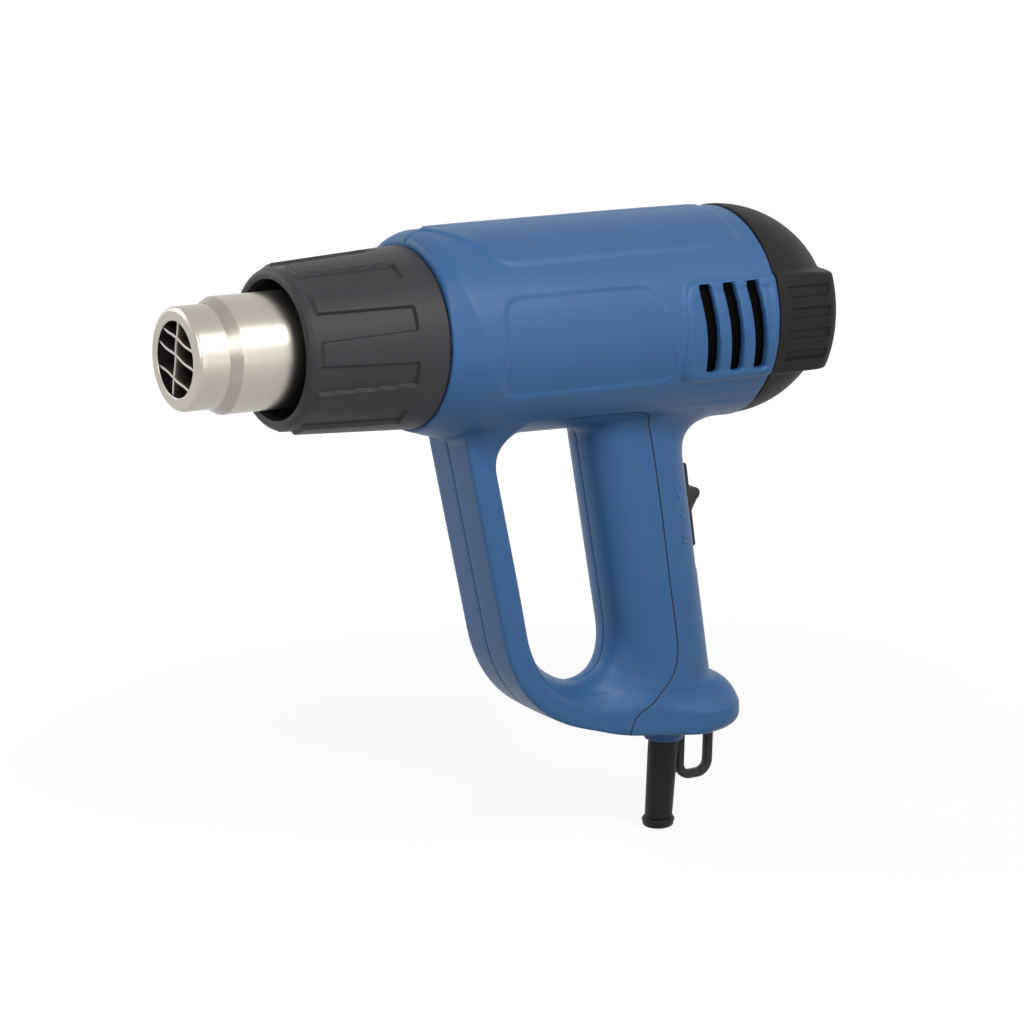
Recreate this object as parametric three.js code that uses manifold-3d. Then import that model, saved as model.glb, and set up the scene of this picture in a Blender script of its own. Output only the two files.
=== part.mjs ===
// Hot air gun: a clam-shell body with a closed handle, a steel nozzle in a ribbed guard,
// a domed rear cap, and the heater, fan, motor and switch that it holds.
// Millimetres, +Z up, the nozzle points towards -X. The origin is the middle of the grip.
import * as THREE from "three";
import { mergeVertices } from "three/addons/utils/BufferGeometryUtils.js";
import Module from "manifold-3d";

const wasm = await Module();
wasm.setup();

// Fits and walls
const FIT_GAP = 0.3;
const RUN_GAP = 0.8;
const SHELL_WALL = 2.5;
const RIB_WIDTH = 2;
const PARTING_GAP = 0.3;

// Lengths along the barrel, counted from the nozzle's mouth
const NOZZLE_REACH = 34.6;
const GUARD_LENGTH = 50.2;
const GUARD_SHADOW_GAP = 0.4;
const BARREL_LENGTH = 127.6;
const CAP_LENGTH = 33.4;

// Nozzle tube and the grid in its mouth
const NOZZLE_TIP_RADIUS = 17;
const NOZZLE_RADIUS = 19.2;
const NOZZLE_WALL = 1;
const NOZZLE_TIP_LENGTH = 12;
const NOZZLE_STEP_LENGTH = 4.6;
const NOZZLE_MOUTH_RADIUS = 12.4;
const NOZZLE_RIM_ROUND = 2.6;
const NOZZLE_FLANGE = 1.5;
const GRID_BAR = 0.8;
const GRID_DEPTH = 6;
const GRID_RING = 0.8;
const GRID_PITCH = 7.4;
const GRID_CLOCKING = 9;

// Front guard
const GUARD_FRONT_RADIUS = 28.1;
const GUARD_REAR_RADIUS = 30.65;
const GUARD_MOUTH_RADIUS = 23.2;
const GUARD_NOSE = 4;
const GUARD_NOSE_RADIUS = 26.2;
const GUARD_LIP = 2;
const GUARD_WALL = 2.8;
const GUARD_CHANNELS = 10;
const GUARD_CHANNEL_WIDTH = 7.8;
const GUARD_CHANNEL_LENGTH = 36;
const GUARD_CHANNEL_DEPTH = 1.3;
const GUARD_CLOCKING = 24;
const GUARD_FLANGE = 1.2;

// Barrel of the housing
const BARREL_FRONT_RADIUS = 31.6;
const BARREL_SHOULDER_RADIUS = 35.3;
const BARREL_REAR_RADIUS = 36.9;
const CREASE_SETBACK = 9.8;
const CREASE_LEAN = 0.12;
const LIP_LENGTH = 6;
const CAP_SEAT = 8;

// Raised and sunken panels of the barrel
const TOP_PANEL_RISE = 0.7;
const TOP_PANEL_HALF_WIDTH = 24.8;
const TOP_PANEL_TIP_X = 91;
const TOP_PANEL_SHOULDER_X = 109;
const TOP_PANEL_END_X = 205;
const SIDE_PANEL_DEPTH = 0.6;
const SIDE_PANEL_FRONT_X = 103;
const SIDE_PANEL_LENGTH = 67;
const SIDE_PANEL_HEIGHT = 36;
const SIDE_PANEL_ROUND = 9;
const VENT_PAD_RISE = 1.1;
const VENT_PAD_LENGTH = 38;
const VENT_PAD_HEIGHT = 35.4;
const VENT_PAD_FALL = 0.9;
const VENT_PAD_ROUND = 5;
const VENT_COUNT = 3;
const VENT_WIDTH = 4.9;
const VENT_HEIGHT = 30.4;
const VENT_PITCH = 9.8;
const VENT_REAR_LAND = 7.2;
const VENT_LEAN = 8;

// Rear cap
const CAP_BAND_HEIGHT = VENT_PAD_HEIGHT;
const CAP_BAND_CORNER = 11;
const CAP_BAND_CROWN = 4.4;
const CAP_FACE_RADIUS = 19;
const CAP_DOME_POWER = 0.8;
const CAP_BAND_STEPS = 4;
const CAP_WALL = 2.4;
const CAP_GROOVES = 4;
const CAP_GROOVE_HEIGHT = 3.2;
const CAP_GROOVE_PITCH = 7.5;
const CAP_GROOVE_DEPTH = 0.8;
const CAP_GROOVE_FRONT = 5;
const CAP_GROOVE_LENGTH = 17;

// Front leg and bow of the handle
const LEG_TOP_X = 106.3;
const LEG_TOP_DROP = 48;
const LEG_LEAN = 0.233;
const LEG_HALF_WIDTH = 13.3;
const LEG_DEPTH = 8.8;
const LEG_ROOT_X = 93;
const LEG_ROOT_DROP = 31;
const LEG_ROOT_FLARE = 9;
const CORNER_DROP = 134.7;
const CORNER_REACH = 25;
const BOW_FALL = 0.302;
const BOW_DEPTH = 13.4;
const BOW_SWELL = 0.13;
const BOW_WIDENING = 4.6;
const BOW_END_X = 196;
const CREASE_EDGE = 1;
const INNER_EDGE = 3.2;
const CROWN = 0.4;

// Grip and base
const GRIP_TOP_DROP = 46;
const GRIP_FRONT_X = 156.4;
const GRIP_FRONT_LEAN = 0.203;
const GRIP_REAR_X = 196.6;
const GRIP_REAR_LEAN = 0.174;
const GRIP_HALF_WIDTH = 15.4;
const GRIP_SQUARENESS = 2.5;
const GRIP_REAR_FILLET = 11;
const GRIP_FRONT_FILLET = 7;
const GRIP_FLANK_FILLET = 8;
const GRIP_BOTTOM_DROP = 131.5;
const BASE_HEIGHT = 20.5;
const BASE_OVERHANG = 13.4;
const BASE_FLARE = 4.2;
const BASE_FRONT_DRAW = 20;
const BASE_WIDEST = 0.6;
const BASE_TOP_ROUND = 1.65;
const BASE_BOTTOM_ROUND = 2.3;
const SOLE_DROP = 149.9;
const SOLE_FALL = 0.09;
const GRIP_CENTRE_X = 181.5;
const GRIP_CENTRE_DROP = 82;

// Cord sleeve, its boss and the clamp
const SLEEVE_X = 196.87;
const SLEEVE_LEAN = 2.1;
const SLEEVE_LENGTH = 32.6;
const SLEEVE_TOP_RADIUS = 5.5;
const SLEEVE_END_RADIUS = 4.9;
const SLEEVE_LIP_RADIUS = 5.85;
const SLEEVE_LIP = 4;
const SLEEVE_BORE_RADIUS = 3.4;
const SLEEVE_FLANGE_RADIUS = 6.7;
const SLEEVE_FLANGE = 3;
const BOSS_RADIUS = 8.6;
const BOSS_TIP_RADIUS = 6.2;
const BOSS_HEIGHT = 5.5;
const CLAMP_DROP = 137.5;
const CLAMP_LENGTH = 21;
const CLAMP_HEIGHT = 7;
const CLAMP_DEPTH = 5.4;
const CLAMP_SCREW_SPAN = 15;
const CLAMP_SCREW_RADIUS = 1.3;
const CLAMP_SCREW_LENGTH = 14;
const CLAMP_BOSS_RADIUS = 3.3;

// Hanging loop, in the right half of the base
const LOOP_X = 211.75;
const LOOP_SIDE = 2.2;
const LOOP_SPAN = 12.5;
const LOOP_DROP = 23.4;
const LOOP_BAR = 3.2;
const LOOP_BEVEL = 1;
const LOOP_BEND = 4;
const LOOP_FOOT = 2.2;
const LOOP_SEAT = 4.6;
const LOOP_WEB_WIDTH = 9;

// Slide switch on the back of the grip
const SWITCH_DROP = 68.3;
const SWITCH_RECESS_LENGTH = 41;
const SWITCH_RECESS_WIDTH = 22;
const SWITCH_RECESS_DEPTH = 2.4;
const SWITCH_PAD_WIDTH = 16;
const SWITCH_TRAVEL = 4.5;
const SLIDER_LENGTH = 31;
const SLIDER_WIDTH = 11;
const SLIDER_PLATE = 2.3;
const FIN_WIDTH = 8;
const FIN_RISE = 5.2;
const FIN_TIP = 1.2;
const FIN_SLOPE = 2;
const FIN_TOP = 6.4;
const FIN_BASE = 10.4;
const STEM_LENGTH = 8;
const STEM_WIDTH = 6;
const STEM_REACH = 7;
const SWITCH_BODY_LENGTH = 28;
const SWITCH_BODY_WIDTH = 12;
const SWITCH_BODY_DEPTH = 11;

// Heater
const MICA_SHEET = 0.8;
const MICA_FRONT_X = 22;
const CARD_HALF_WIDTH = 11.6;
const CARD_LENGTH = 54;
const COIL_WIRE_RADIUS = 0.6;
const COIL_TURNS = 8;
const COIL_END_LAND = 3;
const HEATER_BASE_LENGTH = 7;
const HEATER_BASE_HOLE = 2.4;
const HEATER_BASE_HOLES = 4;
const CUTOUT_RADIUS = 3;
const CUTOUT_LENGTH = 6;
const FLANGE_SCREWS = 3;
const FLANGE_SCREW_RADIUS = 1.4;
const FLANGE_SCREW_HEAD_RADIUS = 2.6;
const FLANGE_SCREW_HEAD = 1.6;

// Fan, duct and motor
const DUCT_WALL = 1.8;
const DUCT_RADIUS = 32.1;
const DUCT_FLANGE = 2;
const DUCT_CONE = 26;
const DUCT_LENGTH = 52;
const FAN_BLADES = 7;
const FAN_LENGTH = 13;
const FAN_SETBACK = 5;
const FAN_HUB_RADIUS = 9;
const FAN_BLADE_THICKNESS = 1.4;
const FAN_TWIST = 34;
const BRACKET_RING = 3;
const BRACKET_DEPTH = 3.4;
const BRACKET_CUP = 12;
const BRACKET_ARMS = 4;
const BRACKET_ARM = 2.4;
const MOTOR_RADIUS = 18.4;
const MOTOR_LENGTH = 38;
const MOTOR_WALL = 1.2;
const MOTOR_NOSE_RADIUS = 5.2;
const MOTOR_NOSE = 3;
const BUSH_RADIUS = 3.2;
const SHAFT_RADIUS = 1.5;
const SHAFT_GAP = 0.2;
const MAGNET_THICKNESS = 4.2;
const MAGNET_LENGTH = 24;
const MAGNET_SPAN = 130;
const ARMATURE_LENGTH = 20;
const ARMATURE_POLES = 3;
const ARMATURE_CORE_RADIUS = 5;
const ARMATURE_SHOE = 2.2;
const COMMUTATOR_RADIUS = 4.2;
const COMMUTATOR_LENGTH = 7;
const END_BELL_LENGTH = 6;
const BRUSH_WIDTH = 3.2;
const BRUSH_LENGTH = 6;
const BOARD_RADIUS = 15;
const BOARD_THICKNESS = 1.6;
const DIODES = 4;
const DIODE_PITCH = 3.9;
const DIODE_LENGTH = 4.6;
const DIODE_RADIUS = 1.3;
const CAPACITOR_RADIUS = 3.6;
const CAPACITOR_LENGTH = 4.5;

// Screws that close the housing, two in the grip, one in the bow and one in the base
const SCREW_RADIUS = 1.5;
const SCREW_HEAD_RADIUS = 2.9;
const SCREW_HEAD = 2;
const SCREW_LENGTH = 16;
const SCREW_BOSS_RADIUS = 3.8;
const SCREW_SINK = 9;
const SCREW_TOP_DROP = 51;
const SCREW_LOW_DROP = 117;
const SCREW_GRIP_INSET = 12.2;
const SCREW_BOW_DROP = 135;
const SCREW_BOW_INSET = 22.8;
const SCREW_BASE_DROP = 137.5;
const SCREW_BASE_OVERHANG = 1;

// Inner leads
const LEAD_RADIUS = 1.3;

// Facets
const BARREL_FACETS = 40;
const GUARD_FACETS = 40;
const TUBE_FACETS = 30;
const SMALL_FACETS = 12;
const GRIP_FACETS = 24;
const HOLLOW_FACETS = 16;
const HANDLE_STATIONS = 16;
const HOLLOW_STATIONS = 9;
const COIL_TURN_STEPS = 20;
const WIRE_SIDES = 5;
const LEAD_STEPS = 18;
const LOOP_STEPS = 24;
const CURVE_STEPS = 6;
const RIM_STEPS = 3;
const BLADE_STEPS = 4;
const MERGE_TOLERANCE = 1e-4;

// Rings of the lofts and of the dome, as shares of the lengths that they divide
const FILLET_RINGS = [0, 0.5, 0.8, 0.98, 1.1, 1.3, 1.6, 2];
const GRIP_RINGS = [0.2, 0.45, 0.7, 0.9];
const BASE_RINGS = [0, 0.05, 0.14, 0.28, 0.45, 0.65, 0.8, 0.9, 0.96, 0.99];
const HOLLOW_FILLET_RINGS = [0, 0.8, 1.1, 1.6];
const HOLLOW_GRIP_RINGS = [0.45, 0.9];
const HOLLOW_BASE_RINGS = [0, 0.12, 0.28, 0.65, 0.9, 0.99];
const DOME_RINGS = [0, 0.25, 0.5, 0.7, 0.84, 0.94, 1];
const HOLLOW_DOME_RINGS = [0, 0.55, 0.85, 1];

// Places worked out from the lengths above
const GUARD_X = NOZZLE_REACH;
const BARREL_X = GUARD_X + GUARD_LENGTH + GUARD_SHADOW_GAP;
const BARREL_END_X = BARREL_X + BARREL_LENGTH;
const CAP_X = BARREL_END_X + FIT_GAP;
const CAP_END_X = CAP_X + CAP_LENGTH;
const GUARD_FLANGE_X = BARREL_X + LIP_LENGTH + FIT_GAP;
const FRONT_RIB_X = GUARD_FLANGE_X + GUARD_FLANGE + FIT_GAP;
const NOZZLE_FLANGE_X = FRONT_RIB_X + RIB_WIDTH + FIT_GAP;
const NOZZLE_END_X = NOZZLE_FLANGE_X + NOZZLE_FLANGE;
const DUCT_X = NOZZLE_END_X + FIT_GAP;
const DUCT_RIB_X = DUCT_X + DUCT_FLANGE + FIT_GAP;
const DUCT_END_X = DUCT_X + DUCT_LENGTH;
const BRACKET_X = DUCT_END_X + FIT_GAP;
const BRACKET_RIB_X = BRACKET_X + BRACKET_DEPTH + FIT_GAP;
const FAN_X = DUCT_END_X - FAN_SETBACK - FAN_LENGTH;
const MOTOR_X = BRACKET_X + MOTOR_NOSE;
const MOTOR_END_X = MOTOR_X + MOTOR_LENGTH;
const END_BELL_X = MOTOR_END_X + FIT_GAP;
const BOARD_X = END_BELL_X + END_BELL_LENGTH + FIT_GAP;

// Radii worked out from those above
const GUARD_SEAT_RADIUS = GUARD_REAR_RADIUS + FIT_GAP;
const GUARD_FLANGE_RADIUS = GUARD_SEAT_RADIUS + GUARD_FLANGE - FIT_GAP;
const FLANGE_SEAT_RADIUS = DUCT_RADIUS + FIT_GAP;
const RIB_RADIUS = GUARD_REAR_RADIUS - FIT_GAP;
const FLANGE_SCREW_PITCH_RADIUS = (NOZZLE_RADIUS + RIB_RADIUS) / 2;
const CAVITY_RADIUS = BARREL_SHOULDER_RADIUS - SHELL_WALL;
const CAVITY_END_RADIUS = BARREL_REAR_RADIUS - SHELL_WALL;
const NOZZLE_BORE = NOZZLE_RADIUS - NOZZLE_WALL;
const NOZZLE_TIP_BORE = NOZZLE_TIP_RADIUS - NOZZLE_WALL;
const MICA_RADIUS = NOZZLE_BORE - FIT_GAP;
const MICA_BORE = MICA_RADIUS - MICA_SHEET;
const FAN_RADIUS = DUCT_RADIUS - DUCT_WALL - RUN_GAP;
const MAGNET_OUTER = MOTOR_RADIUS - MOTOR_WALL - FIT_GAP;
const MAGNET_BORE = MAGNET_OUTER - MAGNET_THICKNESS;
const ARMATURE_RADIUS = MAGNET_BORE - RUN_GAP;
const SHAFT_BORE = SHAFT_RADIUS + SHAFT_GAP;

const radians = THREE.MathUtils.degToRad;

// Finishes
const finish = (color, roughness, metalness = 0) => () =>
  new THREE.MeshStandardMaterial({ color, roughness, metalness });
const bluePlastic = finish(0x33608f, 0.55);
const blackPlastic = finish(0x232325, 0.6);
const blackRubber = finish(0x1b1b1d, 0.75);
const satinSteel = finish(0xbdb6ab, 0.32, 1);
const darkSteel = finish(0x6f7276, 0.45, 1);
const mica = finish(0xb9a37c, 0.7);
const ceramic = finish(0xe2ddd0, 0.6);
const resistanceWire = finish(0x7b716a, 0.4, 1);
const copper = finish(0xb26b3a, 0.35, 1);
const ferrite = finish(0x35353a, 0.8);
const palePlastic = finish(0xc9c4b6, 0.55);
const greenBoard = finish(0x2f5b3a, 0.6);
const leadSleeve = finish(0x8a2b2b, 0.6);

// A closed mesh as a solid, turned the right way out, with faces of no area left off.
function solid(geometry) {
  const bare = new THREE.BufferGeometry();
  const source = geometry.index ? geometry.toNonIndexed() : geometry;
  bare.setAttribute("position", source.getAttribute("position").clone());
  const merged = mergeVertices(bare, MERGE_TOLERANCE);
  const corners = merged.index.array;
  const kept = [];
  for (let i = 0; i < corners.length; i += 3) {
    const [a, b, c] = corners.slice(i, i + 3);
    if (a !== b && b !== c && c !== a) kept.push(a, b, c);
  }
  const vertProperties = merged.attributes.position.array;
  const build = (order) =>
    new wasm.Manifold(new wasm.Mesh({ numProp: 3, vertProperties, triVerts: new Uint32Array(order) }));
  const made = build(kept);
  return made.volume() < 0 ? build(kept.reverse()) : made;
}

function geometryOf(body) {
  const mesh = body.getMesh();
  const geometry = new THREE.BufferGeometry();
  geometry.setAttribute("position", new THREE.BufferAttribute(mesh.vertProperties.slice(), 3));
  geometry.setIndex(new THREE.BufferAttribute(mesh.triVerts.slice(), 1));
  const flat = geometry.toNonIndexed();
  flat.computeVertexNormals();
  return flat;
}

const join = (bodies) => bodies.reduce((all, body) => all.add(body));
const cut = (body, cutters) => cutters.reduce((rest, cutter) => rest.subtract(cutter), body);

// A profile of [along, radius] points turned about the barrel axis.
function revolve(profile, facets = TUBE_FACETS) {
  const points = profile.map(([along, radius]) => new THREE.Vector2(radius, along));
  return solid(new THREE.LatheGeometry(points, facets).rotateZ(-Math.PI / 2));
}

// A ring of rectangular section about the barrel axis.
function ring(from, to, inner, outer, facets = TUBE_FACETS) {
  return revolve(
    [
      [from, inner],
      [from, outer],
      [to, outer],
      [to, inner],
      [from, inner],
    ],
    facets,
  );
}

// A round bar about the barrel axis.
function disc(from, to, radius, facets = TUBE_FACETS) {
  return revolve(
    [
      [from, 0],
      [from, radius],
      [to, radius],
      [to, 0],
    ],
    facets,
  );
}

// A closed loft through rings with the same number of points, its ends closed by fans.
function loft(rings) {
  const count = rings[0].length;
  const middle = (points) =>
    points.reduce((sum, point) => sum.add(point), new THREE.Vector3()).divideScalar(points.length);
  const positions = [];
  const face = (a, b, c) => positions.push(a.x, a.y, a.z, b.x, b.y, b.z, c.x, c.y, c.z);
  for (let i = 0; i + 1 < rings.length; i++) {
    for (let j = 0; j < count; j++) {
      const next = (j + 1) % count;
      face(rings[i][j], rings[i + 1][j], rings[i + 1][next]);
      face(rings[i][j], rings[i + 1][next], rings[i][next]);
    }
  }
  const [first, last] = [rings[0], rings[rings.length - 1]];
  for (let j = 0; j < count; j++) {
    const next = (j + 1) % count;
    face(middle(first), first[j], first[next]);
    face(middle(last), last[next], last[j]);
  }
  const geometry = new THREE.BufferGeometry();
  geometry.setAttribute("position", new THREE.Float32BufferAttribute(positions, 3));
  return solid(geometry);
}

// An outline in the middle plane (along the barrel, up) given thickness across it.
function across(shape, from, to, curveSegments = CURVE_STEPS) {
  const options = { depth: to - from, bevelEnabled: false, curveSegments };
  const geometry = new THREE.ExtrudeGeometry(shape, options);
  return solid(geometry.rotateX(Math.PI / 2).translate(0, to, 0));
}

// An outline in plan (along the barrel, across it) given height.
function upright(shape, from, to) {
  const options = { depth: to - from, bevelEnabled: false, curveSegments: CURVE_STEPS };
  return solid(new THREE.ExtrudeGeometry(shape, options).translate(0, 0, from));
}

function polygon(points) {
  return new THREE.Shape(points.map(([x, y]) => new THREE.Vector2(x, y)));
}

// A rectangle with round corners about its middle.
function roundedRectangle(x, y, width, height, radius) {
  const [w, h] = [width / 2 - radius, height / 2 - radius];
  const shape = new THREE.Shape();
  shape.absarc(x + w, y + h, radius, 0, Math.PI / 2);
  shape.absarc(x - w, y + h, radius, Math.PI / 2, Math.PI);
  shape.absarc(x - w, y - h, radius, Math.PI, 1.5 * Math.PI);
  shape.absarc(x + w, y - h, radius, 1.5 * Math.PI, 2 * Math.PI);
  return shape;
}

function box(x, y, z, width, depth, height) {
  return solid(new THREE.BoxGeometry(width, depth, height).translate(x, y, z));
}

// A round bar across the tool, at a place along the barrel and down from its axis.
function crossBar(x, drop, radius, from, to, facets = SMALL_FACETS) {
  const bar = new THREE.CylinderGeometry(radius, radius, to - from, facets);
  return solid(bar.translate(x, (from + to) / 2, -drop));
}

// A wire of round section along points.
function wire(points, radius, steps) {
  const path = new THREE.CatmullRomCurve3(points);
  const corners = Array.from({ length: WIRE_SIDES }, (_, i) => {
    const a = (2 * Math.PI * i) / WIRE_SIDES;
    return [radius * Math.cos(a), radius * Math.sin(a)];
  });
  const options = { steps, bevelEnabled: false, extrudePath: path };
  return solid(new THREE.ExtrudeGeometry(polygon(corners), options));
}

const turned = (body, degrees) => body.rotate([degrees, 0, 0]);
const mirrored = (body) => body.mirror([0, 1, 0]);

// Scene graph: one group per assembly, all in the barrel's frame
const tool = new THREE.Group();
const barrelFrame = new THREE.Group();
barrelFrame.position.set(-GRIP_CENTRE_X, 0, GRIP_CENTRE_DROP);
tool.add(barrelFrame);

function assembly() {
  const group = new THREE.Group();
  barrelFrame.add(group);
  return group;
}

const bodyGroup = assembly();
const heaterGroup = assembly();
const motorGroup = assembly();
const switchGroup = assembly();
const baseGroup = assembly();

function piece(group, name, body, material) {
  const mesh = new THREE.Mesh(geometryOf(body), material());
  mesh.name = name;
  group.add(mesh);
}

// The barrel: round rings, with a leaning crease behind the guard.
function barrelSurface(x) {
  const share = (x - BARREL_X) / BARREL_LENGTH;
  return BARREL_SHOULDER_RADIUS + (BARREL_REAR_RADIUS - BARREL_SHOULDER_RADIUS) * share;
}

function barrelLoft(rise) {
  const angles = Array.from({ length: BARREL_FACETS }, (_, i) => (2 * Math.PI * i) / BARREL_FACETS);
  const circle = (x, radius) =>
    angles.map((a) => new THREE.Vector3(x, radius * Math.cos(a), radius * Math.sin(a)));
  const crease = angles.map((a) => {
    const z = BARREL_SHOULDER_RADIUS * Math.sin(a);
    const x = BARREL_X + CREASE_SETBACK - CREASE_LEAN * z;
    const radius = BARREL_SHOULDER_RADIUS + rise;
    return new THREE.Vector3(x, radius * Math.cos(a), radius * Math.sin(a));
  });
  const creaseEnd = BARREL_X + CREASE_SETBACK + CREASE_LEAN * BARREL_SHOULDER_RADIUS;
  return loft([
    circle(BARREL_X, BARREL_FRONT_RADIUS + rise),
    crease,
    circle(creaseEnd + CREASE_SETBACK, barrelSurface(creaseEnd + CREASE_SETBACK) + rise),
    circle(BARREL_END_X, BARREL_REAR_RADIUS + rise),
  ]);
}

function topPanel() {
  const plan = polygon([
    [TOP_PANEL_TIP_X, 0],
    [TOP_PANEL_SHOULDER_X, -TOP_PANEL_HALF_WIDTH],
    [TOP_PANEL_END_X, -TOP_PANEL_HALF_WIDTH],
    [TOP_PANEL_END_X, TOP_PANEL_HALF_WIDTH],
    [TOP_PANEL_SHOULDER_X, TOP_PANEL_HALF_WIDTH],
  ]);
  return barrelLoft(TOP_PANEL_RISE).intersect(upright(plan, 0, 2 * BARREL_REAR_RADIUS));
}

const VENT_PAD_X = BARREL_END_X - VENT_PAD_LENGTH;

function ventPads() {
  const reach = 2 * BARREL_REAR_RADIUS;
  const overshoot = VENT_PAD_ROUND;
  const middle = VENT_PAD_X + (VENT_PAD_LENGTH + overshoot) / 2;
  const outline = roundedRectangle(
    middle, -VENT_PAD_FALL, VENT_PAD_LENGTH + overshoot, VENT_PAD_HEIGHT, VENT_PAD_ROUND);
  return barrelLoft(VENT_PAD_RISE).intersect(across(outline, -reach, reach));
}

// The sunken side panels: what lies between the barrel and a barrel of smaller radius.
function sidePanels() {
  const reach = 2 * BARREL_REAR_RADIUS;
  const middle = SIDE_PANEL_FRONT_X + SIDE_PANEL_LENGTH / 2;
  const outline = roundedRectangle(
    middle, 0, SIDE_PANEL_LENGTH, SIDE_PANEL_HEIGHT, SIDE_PANEL_ROUND);
  const band = barrelLoft(FIT_GAP).subtract(barrelLoft(-SIDE_PANEL_DEPTH));
  return band.intersect(across(outline, -reach, reach));
}

function ventSlots() {
  const reach = 2 * BARREL_REAR_RADIUS;
  const lean = Math.tan(radians(VENT_LEAN)) * VENT_HEIGHT;
  const slots = [];
  for (let i = 0; i < VENT_COUNT; i++) {
    const low = BARREL_END_X - VENT_REAR_LAND - VENT_WIDTH / 2 - i * VENT_PITCH + lean / 2;
    const [bottom, top] = [-VENT_HEIGHT / 2, VENT_HEIGHT / 2];
    const outline = polygon([
      [low - VENT_WIDTH / 2, bottom],
      [low + VENT_WIDTH / 2, bottom],
      [low - lean + VENT_WIDTH / 2, top],
      [low - lean - VENT_WIDTH / 2, top],
    ]);
    const inside = CAVITY_RADIUS / 2;
    slots.push(across(outline, -reach, -inside), across(outline, inside, reach));
  }
  return slots;
}

// The hollow of the barrel, stepped by the lips and ribs that hold what is inside.
function barrelCavity() {
  const steps = [
    [BARREL_X - RIB_WIDTH, GUARD_SEAT_RADIUS],
    [BARREL_X + LIP_LENGTH, GUARD_SEAT_RADIUS],
    [BARREL_X + LIP_LENGTH, GUARD_FLANGE_RADIUS + FIT_GAP],
    [FRONT_RIB_X, GUARD_FLANGE_RADIUS + FIT_GAP],
    [FRONT_RIB_X, RIB_RADIUS],
    [FRONT_RIB_X + RIB_WIDTH, RIB_RADIUS],
    [FRONT_RIB_X + RIB_WIDTH, FLANGE_SEAT_RADIUS],
    [DUCT_RIB_X, FLANGE_SEAT_RADIUS],
    [DUCT_RIB_X, RIB_RADIUS],
    [DUCT_RIB_X + RIB_WIDTH, RIB_RADIUS],
    [DUCT_RIB_X + RIB_WIDTH, FLANGE_SEAT_RADIUS],
    [BRACKET_RIB_X, FLANGE_SEAT_RADIUS],
    [BRACKET_RIB_X, RIB_RADIUS],
    [BRACKET_RIB_X + RIB_WIDTH, RIB_RADIUS],
    [BRACKET_RIB_X + RIB_WIDTH, CAVITY_RADIUS],
    [BARREL_END_X, CAVITY_END_RADIUS],
    [BARREL_END_X + RIB_WIDTH, CAVITY_END_RADIUS],
  ];
  const ends = [steps[0][0], steps[steps.length - 1][0]];
  return revolve([[ends[0], 0], ...steps, [ends[1], 0]], BARREL_FACETS);
}

// The front leg and the bow: stations along the outer line, each with its depth inwards.
const legFront = (drop) => LEG_TOP_X + LEG_LEAN * (drop - LEG_TOP_DROP);

function handleLine() {
  const corner = new THREE.Vector2(legFront(CORNER_DROP), -CORNER_DROP);
  const legWay = new THREE.Vector2(LEG_LEAN, -1).normalize();
  const bowWay = new THREE.Vector2(1, -BOW_FALL).normalize();
  const bendStart = corner.clone().addScaledVector(legWay, -CORNER_REACH);
  const bendEnd = corner.clone().addScaledVector(bowWay, CORNER_REACH);
  const rootTurn = new THREE.Vector2(legFront(LEG_ROOT_DROP), -(LEG_ROOT_DROP + LEG_TOP_DROP) / 2);
  const line = new THREE.Path();
  line.moveTo(LEG_ROOT_X, -LEG_ROOT_DROP);
  line.quadraticCurveTo(rootTurn.x, rootTurn.y, LEG_TOP_X, -LEG_TOP_DROP);
  line.lineTo(bendStart.x, bendStart.y);
  line.quadraticCurveTo(corner.x, corner.y, bendEnd.x, bendEnd.y);
  line.lineTo(BOW_END_X, corner.y - BOW_FALL * (BOW_END_X - corner.x));
  return { line, corner, legWay, bowWay, bendEnd };
}

function handleStations(count) {
  const { line, legWay, bowWay, bendEnd } = handleLine();
  const turn = Math.abs(legWay.angleTo(bowWay));
  return Array.from({ length: count }, (_, i) => {
    const at = line.getPointAt(i / (count - 1));
    const way = line.getTangentAt(i / (count - 1));
    const inward = new THREE.Vector2(-way.y, way.x);
    const drop = -at.y;
    const flare = Math.max(0, 1 - (drop - LEG_ROOT_DROP) / (LEG_TOP_DROP - LEG_ROOT_DROP));
    const bent = drop > LEG_TOP_DROP ? Math.min(1, legWay.angleTo(way) / turn) : 0;
    const swell = BOW_SWELL * Math.max(0, at.x - bendEnd.x);
    const depth = LEG_DEPTH + LEG_ROOT_FLARE * flare ** 2 + (BOW_DEPTH - LEG_DEPTH) * bent + swell;
    if (drop < LEG_TOP_DROP) inward.set(1, 0);
    const along = Math.max(0, (at.x - bendEnd.x) / (BOW_END_X - bendEnd.x));
    return { at, inward, depth, halfWidth: LEG_HALF_WIDTH + BOW_WIDENING * along ** 2 };
  });
}

// One section of the leg or bow: a crowned front, creased edges, flat sides and a round back.
function handleSection({ at, inward, depth, halfWidth }, inset) {
  const w = halfWidth - inset;
  const side = [
    [0, inset],
    [w / 2, inset + CROWN / 4],
    [w - CREASE_EDGE, inset + CROWN],
    [w, inset + CROWN + CREASE_EDGE],
    [w, depth - inset - INNER_EDGE],
    [w - CREASE_EDGE, depth - inset - CREASE_EDGE],
    [w - INNER_EDGE, depth - inset],
    [0, depth - inset + CROWN],
  ];
  const back = side.slice(1, -1).reverse().map(([y, t]) => [-y, t]);
  return [...side, ...back].map(
    ([y, t]) => new THREE.Vector3(at.x + inward.x * t, y, at.y + inward.y * t));
}

function handleLoft(inset) {
  const stations = handleStations(inset > 0 ? HOLLOW_STATIONS : HANDLE_STATIONS);
  return loft(stations.map((station) => handleSection(station, inset)));
}

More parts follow.
